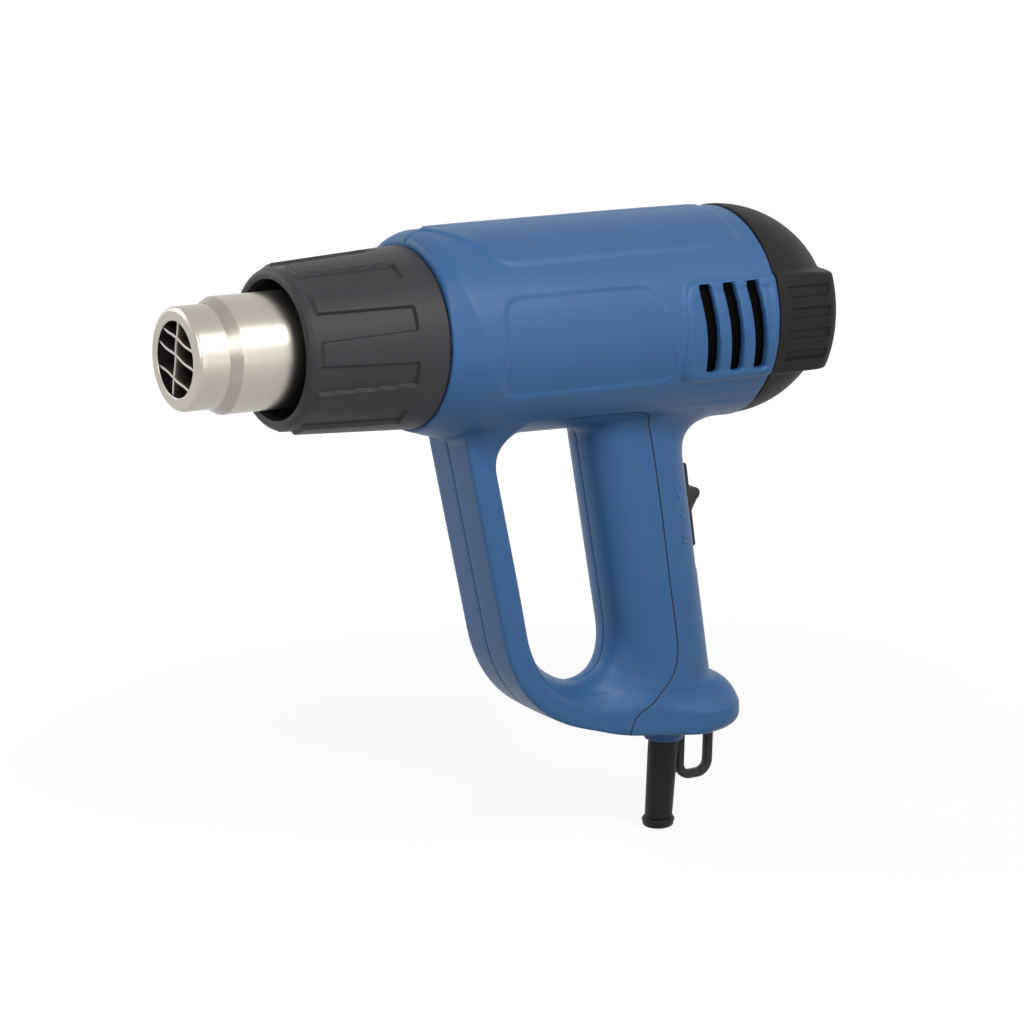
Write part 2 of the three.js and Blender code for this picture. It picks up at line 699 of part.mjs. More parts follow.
// The grip and its base: squared ovals at drops below the barrel axis.
const gripFront = (drop) => GRIP_FRONT_X + GRIP_FRONT_LEAN * (drop - GRIP_TOP_DROP);
const gripRear = (drop) => GRIP_REAR_X + GRIP_REAR_LEAN * (drop - GRIP_TOP_DROP);

// How far a fillet of a radius stands out at a depth below the face that it runs into.
function fillet(radius, depth) {
  const left = Math.min(radius, Math.max(0, radius - depth));
  return radius - Math.sqrt(radius ** 2 - left ** 2);
}

function gripSection(drop, front, rear, halfWidth, inset) {
  const facets = inset > 0 ? HOLLOW_FACETS : GRIP_FACETS;
  const [middle, reach] = [(front + rear) / 2, (rear - front) / 2];
  const bend = (value) => Math.sign(value) * Math.abs(value) ** (2 / GRIP_SQUARENESS);
  return Array.from({ length: facets }, (_, i) => {
    const a = (2 * Math.PI * i) / facets;
    return new THREE.Vector3(middle + reach * bend(Math.cos(a)), halfWidth * bend(Math.sin(a)), -drop);
  });
}

function gripRing(drop, inset) {
  const below = drop - BARREL_SHOULDER_RADIUS - TOP_PANEL_RISE;
  const flank = below + GRIP_FLANK_FILLET;
  return gripSection(
    drop,
    gripFront(drop) - fillet(GRIP_FRONT_FILLET, below) + inset,
    gripRear(drop) + fillet(GRIP_REAR_FILLET, below) - inset,
    GRIP_HALF_WIDTH + fillet(GRIP_FLANK_FILLET, flank) - inset,
    inset,
  );
}

// How far the base stands out, from 0 at its top through 1 where it is widest to 0 underneath.
function baseBulge(share) {
  const above = share < BASE_WIDEST;
  const away = above ? 1 - share / BASE_WIDEST : (share - BASE_WIDEST) / (1 - BASE_WIDEST);
  const power = above ? BASE_TOP_ROUND : BASE_BOTTOM_ROUND;
  return (1 - away ** power) ** (1 / power);
}

// How far the base's flank stands out: hollow above, then as round underneath as the rear.
const baseFlare = (share) => (share < BASE_WIDEST ? (share / BASE_WIDEST) ** 2 : baseBulge(share));

function baseRing(share, inset) {
  const depth = BASE_HEIGHT - inset;
  return gripSection(
    GRIP_BOTTOM_DROP + depth * share,
    gripFront(GRIP_BOTTOM_DROP) + BASE_FRONT_DRAW * share ** 2 + inset,
    gripRear(GRIP_BOTTOM_DROP) + BASE_OVERHANG * baseBulge(share) - inset,
    GRIP_HALF_WIDTH + BASE_FLARE * baseFlare(share) - inset,
    inset,
  );
}

function gripLoft(inset) {
  const hollow = inset > 0;
  const start = BARREL_SHOULDER_RADIUS - GRIP_REAR_FILLET;
  const filletShares = hollow ? HOLLOW_FILLET_RINGS : FILLET_RINGS;
  const gripShares = hollow ? HOLLOW_GRIP_RINGS : GRIP_RINGS;
  const baseShares = hollow ? HOLLOW_BASE_RINGS : BASE_RINGS;
  const length = GRIP_BOTTOM_DROP - GRIP_TOP_DROP;
  return loft([
    ...filletShares.map((share) => gripRing(start + GRIP_REAR_FILLET * share, inset)),
    ...gripShares.map((share) => gripRing(GRIP_TOP_DROP + length * share, inset)),
    ...baseShares.map((share) => baseRing(share, inset)),
  ]);
}

// Frames of the switch and of the cord sleeve, as rotations about the axis across the tool.
const switchTilt = Math.atan(GRIP_REAR_LEAN);
const switchPlace = new THREE.Matrix4()
  .makeRotationY(-switchTilt)
  .setPosition(gripRear(SWITCH_DROP), 0, -SWITCH_DROP);
const sleevePlace = new THREE.Matrix4()
  .makeRotationY(radians(SLEEVE_LEAN))
  .setPosition(SLEEVE_X, 0, -SOLE_DROP);

const placed = (body, matrix) => solid(geometryOf(body).applyMatrix4(matrix));

function switchCuts() {
  const deep = SWITCH_RECESS_DEPTH;
  const proud = SHELL_WALL;
  const recess = box(
    (proud - deep) / 2, 0, 0, proud + deep, SWITCH_RECESS_WIDTH, SWITCH_RECESS_LENGTH);
  const windowLength = STEM_LENGTH + 2 * (SWITCH_TRAVEL + FIT_GAP);
  const windowDepth = 4 * SHELL_WALL;
  const window = box(
    -windowDepth / 2, 0, 0, windowDepth, STEM_WIDTH + 2 * FIT_GAP, windowLength);
  return [placed(recess, switchPlace), placed(window, switchPlace)];
}

// Turned profiles of the sleeve point down: [down, radius] about the sleeve's own axis.
function sleeveTurn(profile, facets = TUBE_FACETS) {
  const points = profile.map(([down, radius]) => new THREE.Vector2(radius, -down));
  return placed(solid(new THREE.LatheGeometry(points, facets)), new THREE.Matrix4()
    .copy(sleevePlace)
    .multiply(new THREE.Matrix4().makeRotationX(Math.PI / 2)));
}

function sleeveBar(from, to, radius) {
  return sleeveTurn([
    [from, 0],
    [from, radius],
    [to, radius],
    [to, 0],
  ]);
}

// The loop's legs pass the floor of the base here, and the cord passes the clamp here.
const loopLegs = [LOOP_X - LOOP_SPAN / 2, LOOP_X + LOOP_SPAN / 2];
const loopSeat = -SOLE_DROP + LOOP_SEAT;
const clampX = SLEEVE_X + Math.tan(radians(SLEEVE_LEAN)) * (SOLE_DROP - CLAMP_DROP);
const clampScrews = [clampX - CLAMP_SCREW_SPAN / 2, clampX + CLAMP_SCREW_SPAN / 2];

function baseCuts() {
  const hole = LOOP_BAR + 2 * FIT_GAP;
  const depth = 4 * LOOP_SEAT;
  const holes = loopLegs.map((x) => box(x, LOOP_SIDE, -SOLE_DROP, hole, hole, depth));
  const clampHoles = clampScrews.map((x) =>
    crossBar(x, CLAMP_DROP, CLAMP_SCREW_RADIUS + FIT_GAP, -CLAMP_DEPTH, CLAMP_SCREW_LENGTH));
  return [
    sleeveBar(-BASE_HEIGHT / 2, 2 * BOSS_HEIGHT, SLEEVE_TOP_RADIUS + FIT_GAP),
    sleeveBar(-BASE_HEIGHT / 2, -SHELL_WALL, SLEEVE_FLANGE_RADIUS + FIT_GAP),
    ...holes,
    ...clampHoles,
  ];
}

// The web under the loop's foot and the two clamp bosses, all in the right half.
function baseWebs() {
  const reach = GRIP_HALF_WIDTH;
  const bosses = clampScrews.map((x) => crossBar(x, CLAMP_DROP, CLAMP_BOSS_RADIUS, 0, reach));
  const length = LOOP_SPAN + 3 * LOOP_BAR;
  const web = box(
    LOOP_X, LOOP_WEB_WIDTH / 2, loopSeat - LOOP_SEAT / 2, length, LOOP_WEB_WIDTH, LOOP_SEAT);
  return [...bosses, web];
}

// Where the screws cross the handle: along the barrel, and down from its axis.
const screwPlaces = [
  [gripFront(SCREW_TOP_DROP) + SCREW_GRIP_INSET, SCREW_TOP_DROP],
  [gripFront(SCREW_LOW_DROP) + SCREW_GRIP_INSET, SCREW_LOW_DROP],
  [legFront(CORNER_DROP) + SCREW_BOW_INSET, SCREW_BOW_DROP],
  [gripRear(GRIP_BOTTOM_DROP) + SCREW_BASE_OVERHANG, SCREW_BASE_DROP],
];

function screwBosses() {
  const reach = GRIP_HALF_WIDTH - FIT_GAP;
  return screwPlaces.map(([x, drop]) => crossBar(x, drop, SCREW_BOSS_RADIUS, -reach, reach));
}

function screwHoles() {
  const reach = 2 * GRIP_HALF_WIDTH;
  return screwPlaces.flatMap(([x, drop]) => [
    crossBar(x, drop, SCREW_RADIUS + FIT_GAP, SCREW_SINK - SCREW_LENGTH - FIT_GAP, SCREW_SINK),
    crossBar(x, drop, SCREW_HEAD_RADIUS + FIT_GAP, SCREW_SINK, reach),
  ]);
}

// A soft cone under the base, round the sleeve.
function sleeveBoss() {
  return sleeveTurn([
    [-BOSS_HEIGHT, 0],
    [-BOSS_HEIGHT, BOSS_RADIUS],
    [0, BOSS_RADIUS],
    [BOSS_HEIGHT, BOSS_TIP_RADIUS],
    [BOSS_HEIGHT, 0],
  ]);
}

// What lies below the sole, a plane that falls a little towards the rear, or below one a rise above it.
function belowSole(rise) {
  const size = 2 * BARREL_LENGTH;
  const block = new THREE.BoxGeometry(size, size, size).translate(0, 0, -size / 2);
  return solid(block.rotateY(Math.atan(SOLE_FALL)).translate(SLEEVE_X, 0, rise - SOLE_DROP));
}

// The wall behind the switch's recess.
function switchPad() {
  const pad = box(
    -SWITCH_RECESS_DEPTH - RIB_WIDTH / 2, 0, 0, RIB_WIDTH, SWITCH_PAD_WIDTH, SWITCH_RECESS_LENGTH);
  return placed(pad, switchPlace);
}

function housing() {
  const form = join([barrelLoft(0), topPanel(), ventPads(), handleLoft(0), gripLoft(0)]);
  const outside = form.subtract(belowSole(0)).add(sleeveBoss());
  const hollow = join([gripLoft(SHELL_WALL), handleLoft(SHELL_WALL)]).subtract(belowSole(SHELL_WALL));
  const bosses = join([...screwBosses(), ...baseWebs(), switchPad()]).intersect(outside);
  const walls = outside.subtract(hollow).add(bosses);
  const open = cut(walls, [barrelCavity(), sidePanels()]);
  return cut(open, [...ventSlots(), ...switchCuts(), ...baseCuts(), ...screwHoles()]);
}

// The largest body of a cut piece, without loose slivers.
function mainBody(body) {
  return body.decompose().sort((a, b) => b.volume() - a.volume())[0];
}

function buildHousing() {
  const whole = housing();
  const size = 4 * BARREL_LENGTH;
  const side = box(0, (size + PARTING_GAP) / 2, 0, size, size, size);
  piece(bodyGroup, "housing_left", mainBody(whole.intersect(mirrored(side))), bluePlastic);
  piece(bodyGroup, "housing_right", mainBody(whole.intersect(side)), bluePlastic);
}

function buildHousingScrews() {
  screwPlaces.forEach(([x, drop], i) => {
    const top = SCREW_SINK + SCREW_HEAD + FIT_GAP;
    const head = crossBar(x, drop, SCREW_HEAD_RADIUS, SCREW_SINK + FIT_GAP, top);
    const shank = crossBar(x, drop, SCREW_RADIUS, SCREW_SINK - SCREW_LENGTH, top);
    const slot = box(x, top, -drop, 2 * SCREW_HEAD_RADIUS, SCREW_HEAD, SCREW_HEAD / 2);
    piece(bodyGroup, `housing_screw_${i + 1}`, head.add(shank).subtract(slot), darkSteel);
  });
}

function buildGuard() {
  const seatX = GUARD_X + GUARD_LENGTH;
  const flangeEnd = GUARD_FLANGE_X + GUARD_FLANGE;
  const rearBore = GUARD_REAR_RADIUS - GUARD_WALL;
  const shell = revolve(
    [
      [GUARD_X, GUARD_MOUTH_RADIUS],
      [GUARD_X, GUARD_NOSE_RADIUS],
      [GUARD_X + GUARD_LIP, GUARD_NOSE_RADIUS + GUARD_CHANNEL_DEPTH / 2],
      [GUARD_X + GUARD_NOSE, GUARD_FRONT_RADIUS],
      [seatX, GUARD_REAR_RADIUS],
      [GUARD_FLANGE_X, GUARD_REAR_RADIUS],
      [GUARD_FLANGE_X, GUARD_FLANGE_RADIUS],
      [flangeEnd, GUARD_FLANGE_RADIUS],
      [flangeEnd, rearBore],
      [seatX, rearBore],
      [GUARD_X + 2 * GUARD_NOSE, GUARD_FRONT_RADIUS - GUARD_WALL],
      [GUARD_X + GUARD_NOSE, GUARD_MOUTH_RADIUS],
      [GUARD_X, GUARD_MOUTH_RADIUS],
    ],
    GUARD_FACETS,
  );
  piece(bodyGroup, "front_guard", cut(shell, guardChannels()), blackPlastic);
}

// Channels sunk a steady depth below the guard's cone, open at its nose.
function guardChannels() {
  const slope = Math.atan((GUARD_REAR_RADIUS - GUARD_FRONT_RADIUS) / (GUARD_LENGTH - GUARD_NOSE));
  const height = 2 * SHELL_WALL;
  const block = new THREE.BoxGeometry(GUARD_CHANNEL_LENGTH, GUARD_CHANNEL_WIDTH, height);
  block.translate(GUARD_CHANNEL_LENGTH / 2, 0, height / 2 - GUARD_CHANNEL_DEPTH);
  block.rotateY(-slope).translate(GUARD_X + GUARD_NOSE / 2, 0, GUARD_FRONT_RADIUS);
  const channel = solid(block);
  return Array.from({ length: GUARD_CHANNELS }, (_, i) =>
    turned(channel, 90 - GUARD_CLOCKING + (360 * i) / GUARD_CHANNELS));
}

// The dome's radius at a share of its length: full at the seam, drawn in to the flat rear face.
function capRadius(share) {
  const drawn = BARREL_REAR_RADIUS - CAP_FACE_RADIUS;
  return CAP_FACE_RADIUS + drawn * (1 - share ** 2) ** CAP_DOME_POWER;
}

function capDome(inset) {
  const shares = inset > 0 ? HOLLOW_DOME_RINGS : DOME_RINGS;
  const length = CAP_LENGTH - inset;
  const wall = shares.map((share) => [CAP_X + length * share, capRadius(share) - inset]);
  const facets = inset > 0 ? TUBE_FACETS : BARREL_FACETS;
  return revolve([[CAP_X, 0], ...wall, [CAP_X + length, 0]], facets);
}

// The band: a fuller dome with straight sides, a round corner and a crowned rear, kept to a slab.
function capBand() {
  const half = BARREL_REAR_RADIUS + VENT_PAD_RISE;
  const shoulder = CAP_END_X - CAP_BAND_CROWN;
  const [corner, side] = [CAP_BAND_CORNER, half - CAP_BAND_CORNER];
  const profile = new THREE.Path();
  profile.moveTo(CAP_X, 0);
  profile.lineTo(CAP_X, half);
  profile.absarc(shoulder - corner, side, corner, Math.PI / 2, 0, true);
  profile.quadraticCurveTo(CAP_END_X, side / 2, CAP_END_X, 0);
  const points = profile.getPoints(CAP_BAND_STEPS).map(({ x, y }) => [x, y]);
  const slab = box(CAP_END_X, 0, -VENT_PAD_FALL, 2 * CAP_LENGTH, 4 * half, CAP_BAND_HEIGHT);
  return revolve(points, BARREL_FACETS).intersect(slab);
}

function capGrooves() {
  const face = BARREL_REAR_RADIUS + VENT_PAD_RISE;
  const middle = CAP_X + CAP_GROOVE_FRONT + CAP_GROOVE_LENGTH / 2;
  const grooves = Array.from({ length: CAP_GROOVES }, (_, i) => {
    const level = (i - (CAP_GROOVES - 1) / 2) * CAP_GROOVE_PITCH - VENT_PAD_FALL;
    const groove = box(middle, -face, 0, CAP_GROOVE_LENGTH, 2 * CAP_GROOVE_DEPTH, CAP_GROOVE_HEIGHT);
    return turned(groove, -THREE.MathUtils.radToDeg(Math.asin(level / face)));
  });
  return [...grooves, ...grooves.map(mirrored)];
}

function buildCap() {
  const spigot = CAVITY_END_RADIUS - 2 * FIT_GAP;
  const seat = ring(BARREL_END_X - CAP_SEAT, CAP_X + CAP_WALL, spigot - CAP_WALL, spigot, BARREL_FACETS);
  const outside = capDome(0).add(capBand());
  const shell = outside.subtract(capDome(CAP_WALL).intersect(disc(CAP_X, CAP_END_X, spigot - CAP_WALL)));
  piece(bodyGroup, "rear_cap", cut(shell.add(seat), capGrooves()), blackPlastic);
}

function buildNozzle() {
  const step = NOZZLE_TIP_LENGTH + NOZZLE_STEP_LENGTH;
  const round = NOZZLE_RIM_ROUND;
  const rim = Array.from({ length: RIM_STEPS + 1 }, (_, i) => {
    const a = (Math.PI * i) / (2 * RIM_STEPS);
    return [round * (1 - Math.cos(a)), NOZZLE_TIP_RADIUS - round * (1 - Math.sin(a))];
  });
  const tube = revolve([
    [0, NOZZLE_MOUTH_RADIUS],
    ...rim,
    [NOZZLE_TIP_LENGTH, NOZZLE_TIP_RADIUS],
    [step, NOZZLE_RADIUS],
    [NOZZLE_FLANGE_X, NOZZLE_RADIUS],
    [NOZZLE_FLANGE_X, DUCT_RADIUS],
    [NOZZLE_END_X, DUCT_RADIUS],
    [NOZZLE_END_X, NOZZLE_BORE],
    [step + NOZZLE_WALL, NOZZLE_BORE],
    [NOZZLE_TIP_LENGTH + NOZZLE_WALL, NOZZLE_TIP_BORE],
    [NOZZLE_WALL, NOZZLE_TIP_BORE],
    [NOZZLE_WALL, NOZZLE_MOUTH_RADIUS],
    [0, NOZZLE_MOUTH_RADIUS],
  ], BARREL_FACETS);
  const screwHole = FLANGE_SCREW_RADIUS + FIT_GAP;
  const holes = flangeScrewPlaces().map((place) => place(disc(
    NOZZLE_FLANGE_X - RIB_WIDTH, NOZZLE_END_X + RIB_WIDTH, screwHole, SMALL_FACETS)));
  piece(heaterGroup, "nozzle_tube", cut(tube, holes), satinSteel);
}

function flangeScrewPlaces() {
  return Array.from({ length: FLANGE_SCREWS }, (_, i) => (body) =>
    turned(body.translate([0, 0, FLANGE_SCREW_PITCH_RADIUS]), (360 * i) / FLANGE_SCREWS));
}

function buildGrid() {
  const outer = NOZZLE_TIP_BORE - FIT_GAP;
  const from = NOZZLE_WALL + FIT_GAP;
  const middle = from + GRID_DEPTH / 2;
  const hoop = ring(from, from + GRID_DEPTH, outer - GRID_RING, outer);
  const span = 2 * outer - GRID_RING;
  const bars = [box(middle, 0, 0, GRID_DEPTH, GRID_BAR, span)];
  for (const level of [-GRID_PITCH, 0, GRID_PITCH]) {
    const width = 2 * Math.sqrt((outer - GRID_RING / 2) ** 2 - level ** 2);
    bars.push(box(middle, 0, level, GRID_DEPTH, width, GRID_BAR));
  }
  piece(heaterGroup, "outlet_grid", turned(join([hoop, ...bars]), GRID_CLOCKING), satinSteel);
}

const CARD_X = MICA_FRONT_X + COIL_END_LAND;
const CARD_END_X = CARD_X + CARD_LENGTH;

function buildHeater() {
  const baseX = CARD_END_X + FIT_GAP;
  const baseEnd = baseX + HEATER_BASE_LENGTH;
  const sleeve = ring(MICA_FRONT_X, baseEnd, MICA_BORE, MICA_RADIUS);
  piece(heaterGroup, "mica_sleeve", sleeve, mica);
  const middle = CARD_X + CARD_LENGTH / 2;
  const card = box(middle, 0, 0, CARD_LENGTH, MICA_SHEET, 2 * CARD_HALF_WIDTH);
  const slotLength = CARD_LENGTH / 2 + FIT_GAP;
  const slot = box(0, 0, 0, slotLength, MICA_SHEET + 2 * FIT_GAP, MICA_SHEET + 2 * FIT_GAP);
  const frontSlot = slot.translate([CARD_X + slotLength / 2 - FIT_GAP, 0, 0]);
  const rearSlot = slot.translate([CARD_END_X - slotLength / 2 + FIT_GAP, 0, 0]);
  piece(heaterGroup, "mica_card_upright", card.subtract(frontSlot), mica);
  piece(heaterGroup, "mica_card_level", turned(card, 90).subtract(rearSlot), mica);
  const holes = Array.from({ length: HEATER_BASE_HOLES }, (_, i) =>
    turned(disc(baseX - RIB_WIDTH, baseEnd + RIB_WIDTH, HEATER_BASE_HOLE, SMALL_FACETS)
      .translate([0, 0, CARD_HALF_WIDTH - HEATER_BASE_HOLE]), 45 + (360 * i) / HEATER_BASE_HOLES));
  const base = cut(disc(baseX, baseEnd, MICA_BORE - FIT_GAP), holes);
  piece(heaterGroup, "heater_base", base, ceramic);
  const cutout = disc(baseEnd + FIT_GAP, baseEnd + FIT_GAP + CUTOUT_LENGTH, CUTOUT_RADIUS, SMALL_FACETS);
  piece(heaterGroup, "thermal_cutout", cutout, darkSteel);
}

// The least clear gap between the turns of a wire, measured over its points.
function leastGap(points, radius, turnSteps) {
  let least = Infinity;
  points.forEach((point, i) => {
    for (let j = i + turnSteps / 2; j < points.length; j++) {
      least = Math.min(least, point.distanceTo(points[j]) - 2 * radius);
    }
  });
  return least;
}

// The heating wire: one helix laid round the edges of the crossed cards.
function buildCoil() {
  const radius = CARD_HALF_WIDTH + 2 * FIT_GAP + COIL_WIRE_RADIUS;
  const length = CARD_LENGTH - 2 * COIL_END_LAND;
  const steps = COIL_TURNS * COIL_TURN_STEPS;
  const points = Array.from({ length: steps + 1 }, (_, i) => {
    const a = (2 * Math.PI * i) / COIL_TURN_STEPS;
    const x = CARD_X + COIL_END_LAND + (length * i) / steps;
    return new THREE.Vector3(x, radius * Math.cos(a), radius * Math.sin(a));
  });
  const gap = leastGap(points, COIL_WIRE_RADIUS, COIL_TURN_STEPS);
  console.log(`heater_coil: least gap to itself ${gap.toFixed(2)} mm`);
  piece(heaterGroup, "heater_coil", wire(points, COIL_WIRE_RADIUS, steps), resistanceWire);
}

function buildFlangeScrews() {
  const headEnd = NOZZLE_FLANGE_X - FIT_GAP;
  const head = disc(headEnd - FLANGE_SCREW_HEAD, headEnd, FLANGE_SCREW_HEAD_RADIUS, SMALL_FACETS);
  const shank = disc(headEnd - FLANGE_SCREW_HEAD, DUCT_X + DUCT_FLANGE, FLANGE_SCREW_RADIUS, SMALL_FACETS);
  flangeScrewPlaces().forEach((place, i) => {
    piece(heaterGroup, `flange_screw_${i + 1}`, place(head.add(shank)), darkSteel);
  });
}

function buildDuct() {
  const coneX = DUCT_X + DUCT_FLANGE;
  const coneEnd = coneX + DUCT_CONE;
  const bore = DUCT_RADIUS - DUCT_WALL;
  const throat = NOZZLE_BORE;
  const shell = revolve(
    [
      [DUCT_X, throat],
      [DUCT_X, DUCT_RADIUS],
      [coneX, DUCT_RADIUS],
      [coneX, throat + DUCT_WALL],
      [coneEnd, DUCT_RADIUS],
      [DUCT_END_X, DUCT_RADIUS],
      [DUCT_END_X, bore],
      [coneEnd, bore],
      [coneX, throat],
      [DUCT_X, throat],
    ],
    BARREL_FACETS,
  );
  const hole = disc(DUCT_X - RIB_WIDTH, coneX + RIB_WIDTH, FLANGE_SCREW_RADIUS + FIT_GAP, SMALL_FACETS);
  piece(motorGroup, "fan_duct", cut(shell, flangeScrewPlaces().map((place) => place(hole))), palePlastic);
}

// One blade: a thin radial plate, twisted along its length.
function fanBlade() {
  const span = FAN_RADIUS - FAN_HUB_RADIUS + FAN_BLADE_THICKNESS;
  const blade = new THREE.BoxGeometry(FAN_LENGTH, FAN_BLADE_THICKNESS, span, BLADE_STEPS, 1, BLADE_STEPS / 2);
  blade.translate(FAN_LENGTH / 2, 0, FAN_RADIUS - span / 2);
  const at = blade.getAttribute("position");
  for (let i = 0; i < at.count; i++) {
    const a = (radians(FAN_TWIST) * (at.getX(i) - FAN_LENGTH / 2)) / FAN_LENGTH;
    const [y, z] = [at.getY(i), at.getZ(i)];
    at.setY(i, y * Math.cos(a) - z * Math.sin(a));
    at.setZ(i, y * Math.sin(a) + z * Math.cos(a));
  }
  return solid(blade.translate(FAN_X, 0, 0));
}

function buildFan() {
  const hub = revolve([
    [FAN_X, 0],
    [FAN_X, FAN_HUB_RADIUS / 2],
    [FAN_X + FAN_HUB_RADIUS / 2, FAN_HUB_RADIUS],
    [FAN_X + FAN_LENGTH, FAN_HUB_RADIUS],
    [FAN_X + FAN_LENGTH, 0],
  ], TUBE_FACETS);
  const blade = fanBlade();
  const blades = Array.from({ length: FAN_BLADES }, (_, i) => turned(blade, (360 * i) / FAN_BLADES));
  const bore = disc(FAN_X - RIB_WIDTH, FAN_X + FAN_LENGTH + RIB_WIDTH, SHAFT_BORE, SMALL_FACETS);
  piece(motorGroup, "fan", join([hub, ...blades]).subtract(bore), blackPlastic);
}

function buildBracket() {
  const cupInner = MOTOR_RADIUS + FIT_GAP;
  const cupOuter = cupInner + BRACKET_RING;
  const rim = ring(BRACKET_X, BRACKET_X + BRACKET_DEPTH, DUCT_RADIUS - BRACKET_RING, DUCT_RADIUS);
  const cup = ring(BRACKET_X, BRACKET_X + BRACKET_CUP, cupInner, cupOuter);
  const reach = DUCT_RADIUS - BRACKET_RING / 2 - (cupInner + cupOuter) / 2;
  const arm = box(
    BRACKET_X + BRACKET_DEPTH / 2, 0, (cupInner + cupOuter) / 2 + reach / 2,
    BRACKET_DEPTH, BRACKET_ARM, reach);
  const arms = Array.from({ length: BRACKET_ARMS }, (_, i) =>
    turned(arm, 45 + (360 * i) / BRACKET_ARMS));
  piece(motorGroup, "motor_bracket", join([rim, cup, ...arms]), palePlastic);
}

function buildMotorCase() {
  const nose = BUSH_RADIUS + FIT_GAP;
  const can = revolve(
    [
      [BRACKET_X, nose],
      [BRACKET_X, MOTOR_NOSE_RADIUS],
      [MOTOR_X, MOTOR_NOSE_RADIUS],
      [MOTOR_X, MOTOR_RADIUS],
      [MOTOR_END_X, MOTOR_RADIUS],
      [MOTOR_END_X, MOTOR_RADIUS - MOTOR_WALL],
      [MOTOR_X + MOTOR_WALL, MOTOR_RADIUS - MOTOR_WALL],
      [MOTOR_X + MOTOR_WALL, nose],
      [BRACKET_X, nose],
    ],
  );
  piece(motorGroup, "motor_can", can, darkSteel);
  const bush = (from, to) => ring(from, to, SHAFT_BORE, BUSH_RADIUS, SMALL_FACETS);
  piece(motorGroup, "bush_front", bush(BRACKET_X, MOTOR_X + MOTOR_WALL), copper);
  piece(motorGroup, "bush_rear", bush(END_BELL_X, END_BELL_X + END_BELL_LENGTH), copper);
  const bell = ring(END_BELL_X, END_BELL_X + END_BELL_LENGTH, nose, MOTOR_RADIUS);
  const plug = ring(END_BELL_X - RIB_WIDTH, END_BELL_X + FIT_GAP, MAGNET_BORE, MAGNET_OUTER);
  piece(motorGroup, "end_bell", join([bell, plug, ...brushSockets()]), palePlastic);
}

const MAGNET_X = MOTOR_X + MOTOR_WALL + FIT_GAP;

function buildMagnets() {
  const full = ring(MAGNET_X, MAGNET_X + MAGNET_LENGTH, MAGNET_BORE, MAGNET_OUTER);
  const tall = 2 * MOTOR_RADIUS;
  const edge = tall * Math.tan(radians(MAGNET_SPAN / 2));
  const wedge = polygon([
    [0, 0],
    [edge, tall],
    [-edge, tall],
  ]);
  const options = { depth: tall, bevelEnabled: false };
  const keep = new THREE.ExtrudeGeometry(wedge, options).rotateX(Math.PI / 2).rotateZ(Math.PI / 2);
  const upper = full.intersect(solid(keep.translate(MAGNET_X - FIT_GAP, 0, 0)));
  piece(motorGroup, "magnet_upper", upper, ferrite);
  piece(motorGroup, "magnet_lower", turned(upper, 180), ferrite);
}

const ARMATURE_X = MAGNET_X + (MAGNET_LENGTH - ARMATURE_LENGTH) / 2;
const COMMUTATOR_X = ARMATURE_X + ARMATURE_LENGTH + FIT_GAP;

// Three poles with wide shoes round a core.
function buildArmature() {
  const end = ARMATURE_X + ARMATURE_LENGTH;
  const middle = (ARMATURE_X + end) / 2;
  const core = disc(ARMATURE_X, end, ARMATURE_CORE_RADIUS);
  const shoeRing = ring(ARMATURE_X, end, ARMATURE_RADIUS - ARMATURE_SHOE, ARMATURE_RADIUS, TUBE_FACETS);
  const gap = box(middle, 0, ARMATURE_RADIUS, ARMATURE_LENGTH + RIB_WIDTH, ARMATURE_SHOE, ARMATURE_RADIUS);
  const poles = Array.from({ length: ARMATURE_POLES }, (_, i) => {
    const stem = box(middle, 0, ARMATURE_RADIUS / 2, ARMATURE_LENGTH, ARMATURE_CORE_RADIUS, ARMATURE_RADIUS);
    return turned(stem, (360 * i) / ARMATURE_POLES);
  });
  const gaps = poles.map((_, i) => turned(gap, 180 / ARMATURE_POLES + (360 * i) / ARMATURE_POLES));
  const iron = cut(join([core, shoeRing, ...poles]), gaps).intersect(disc(ARMATURE_X, end, ARMATURE_RADIUS));
  const bore = disc(ARMATURE_X - RIB_WIDTH, end + RIB_WIDTH, SHAFT_BORE, SMALL_FACETS);
  piece(motorGroup, "armature", iron.subtract(bore), darkSteel);
  const ringEnd = COMMUTATOR_X + COMMUTATOR_LENGTH;
  piece(motorGroup, "commutator", ring(COMMUTATOR_X, ringEnd, SHAFT_BORE, COMMUTATOR_RADIUS), copper);
  const shaftEnd = END_BELL_X + END_BELL_LENGTH;
  piece(motorGroup, "motor_shaft", disc(FAN_X, shaftEnd, SHAFT_RADIUS, SMALL_FACETS), satinSteel);
}

function buildBrushes() {
  const x = COMMUTATOR_X + COMMUTATOR_LENGTH / 2;
  const inner = COMMUTATOR_RADIUS + FIT_GAP;
  const right = box(x, inner + BRUSH_LENGTH / 2, 0, BRUSH_WIDTH, BRUSH_LENGTH, BRUSH_WIDTH);
  piece(motorGroup, "brush_left", mirrored(right), ferrite);
  piece(motorGroup, "brush_right", right, ferrite);
}

// The sockets that carry the brushes, on arms from the end bell.
function brushSockets() {
  const x = COMMUTATOR_X + COMMUTATOR_LENGTH / 2;
  const hole = BRUSH_WIDTH + 2 * FIT_GAP;
  const side = hole + 2 * MOTOR_WALL;
  const [from, to] = [x - side / 2, END_BELL_X + FIT_GAP];
  const inner = COMMUTATOR_RADIUS + 3 * FIT_GAP;
  const back = COMMUTATOR_RADIUS + 2 * FIT_GAP + BRUSH_LENGTH;
  const depth = back + MOTOR_WALL - inner;
  const arm = box((from + to) / 2, inner + depth / 2, 0, to - from, depth, side);
  const channel = box(x, back / 2, 0, hole, back, hole);
  const socket = arm.subtract(channel);
  return [socket, mirrored(socket)];
}

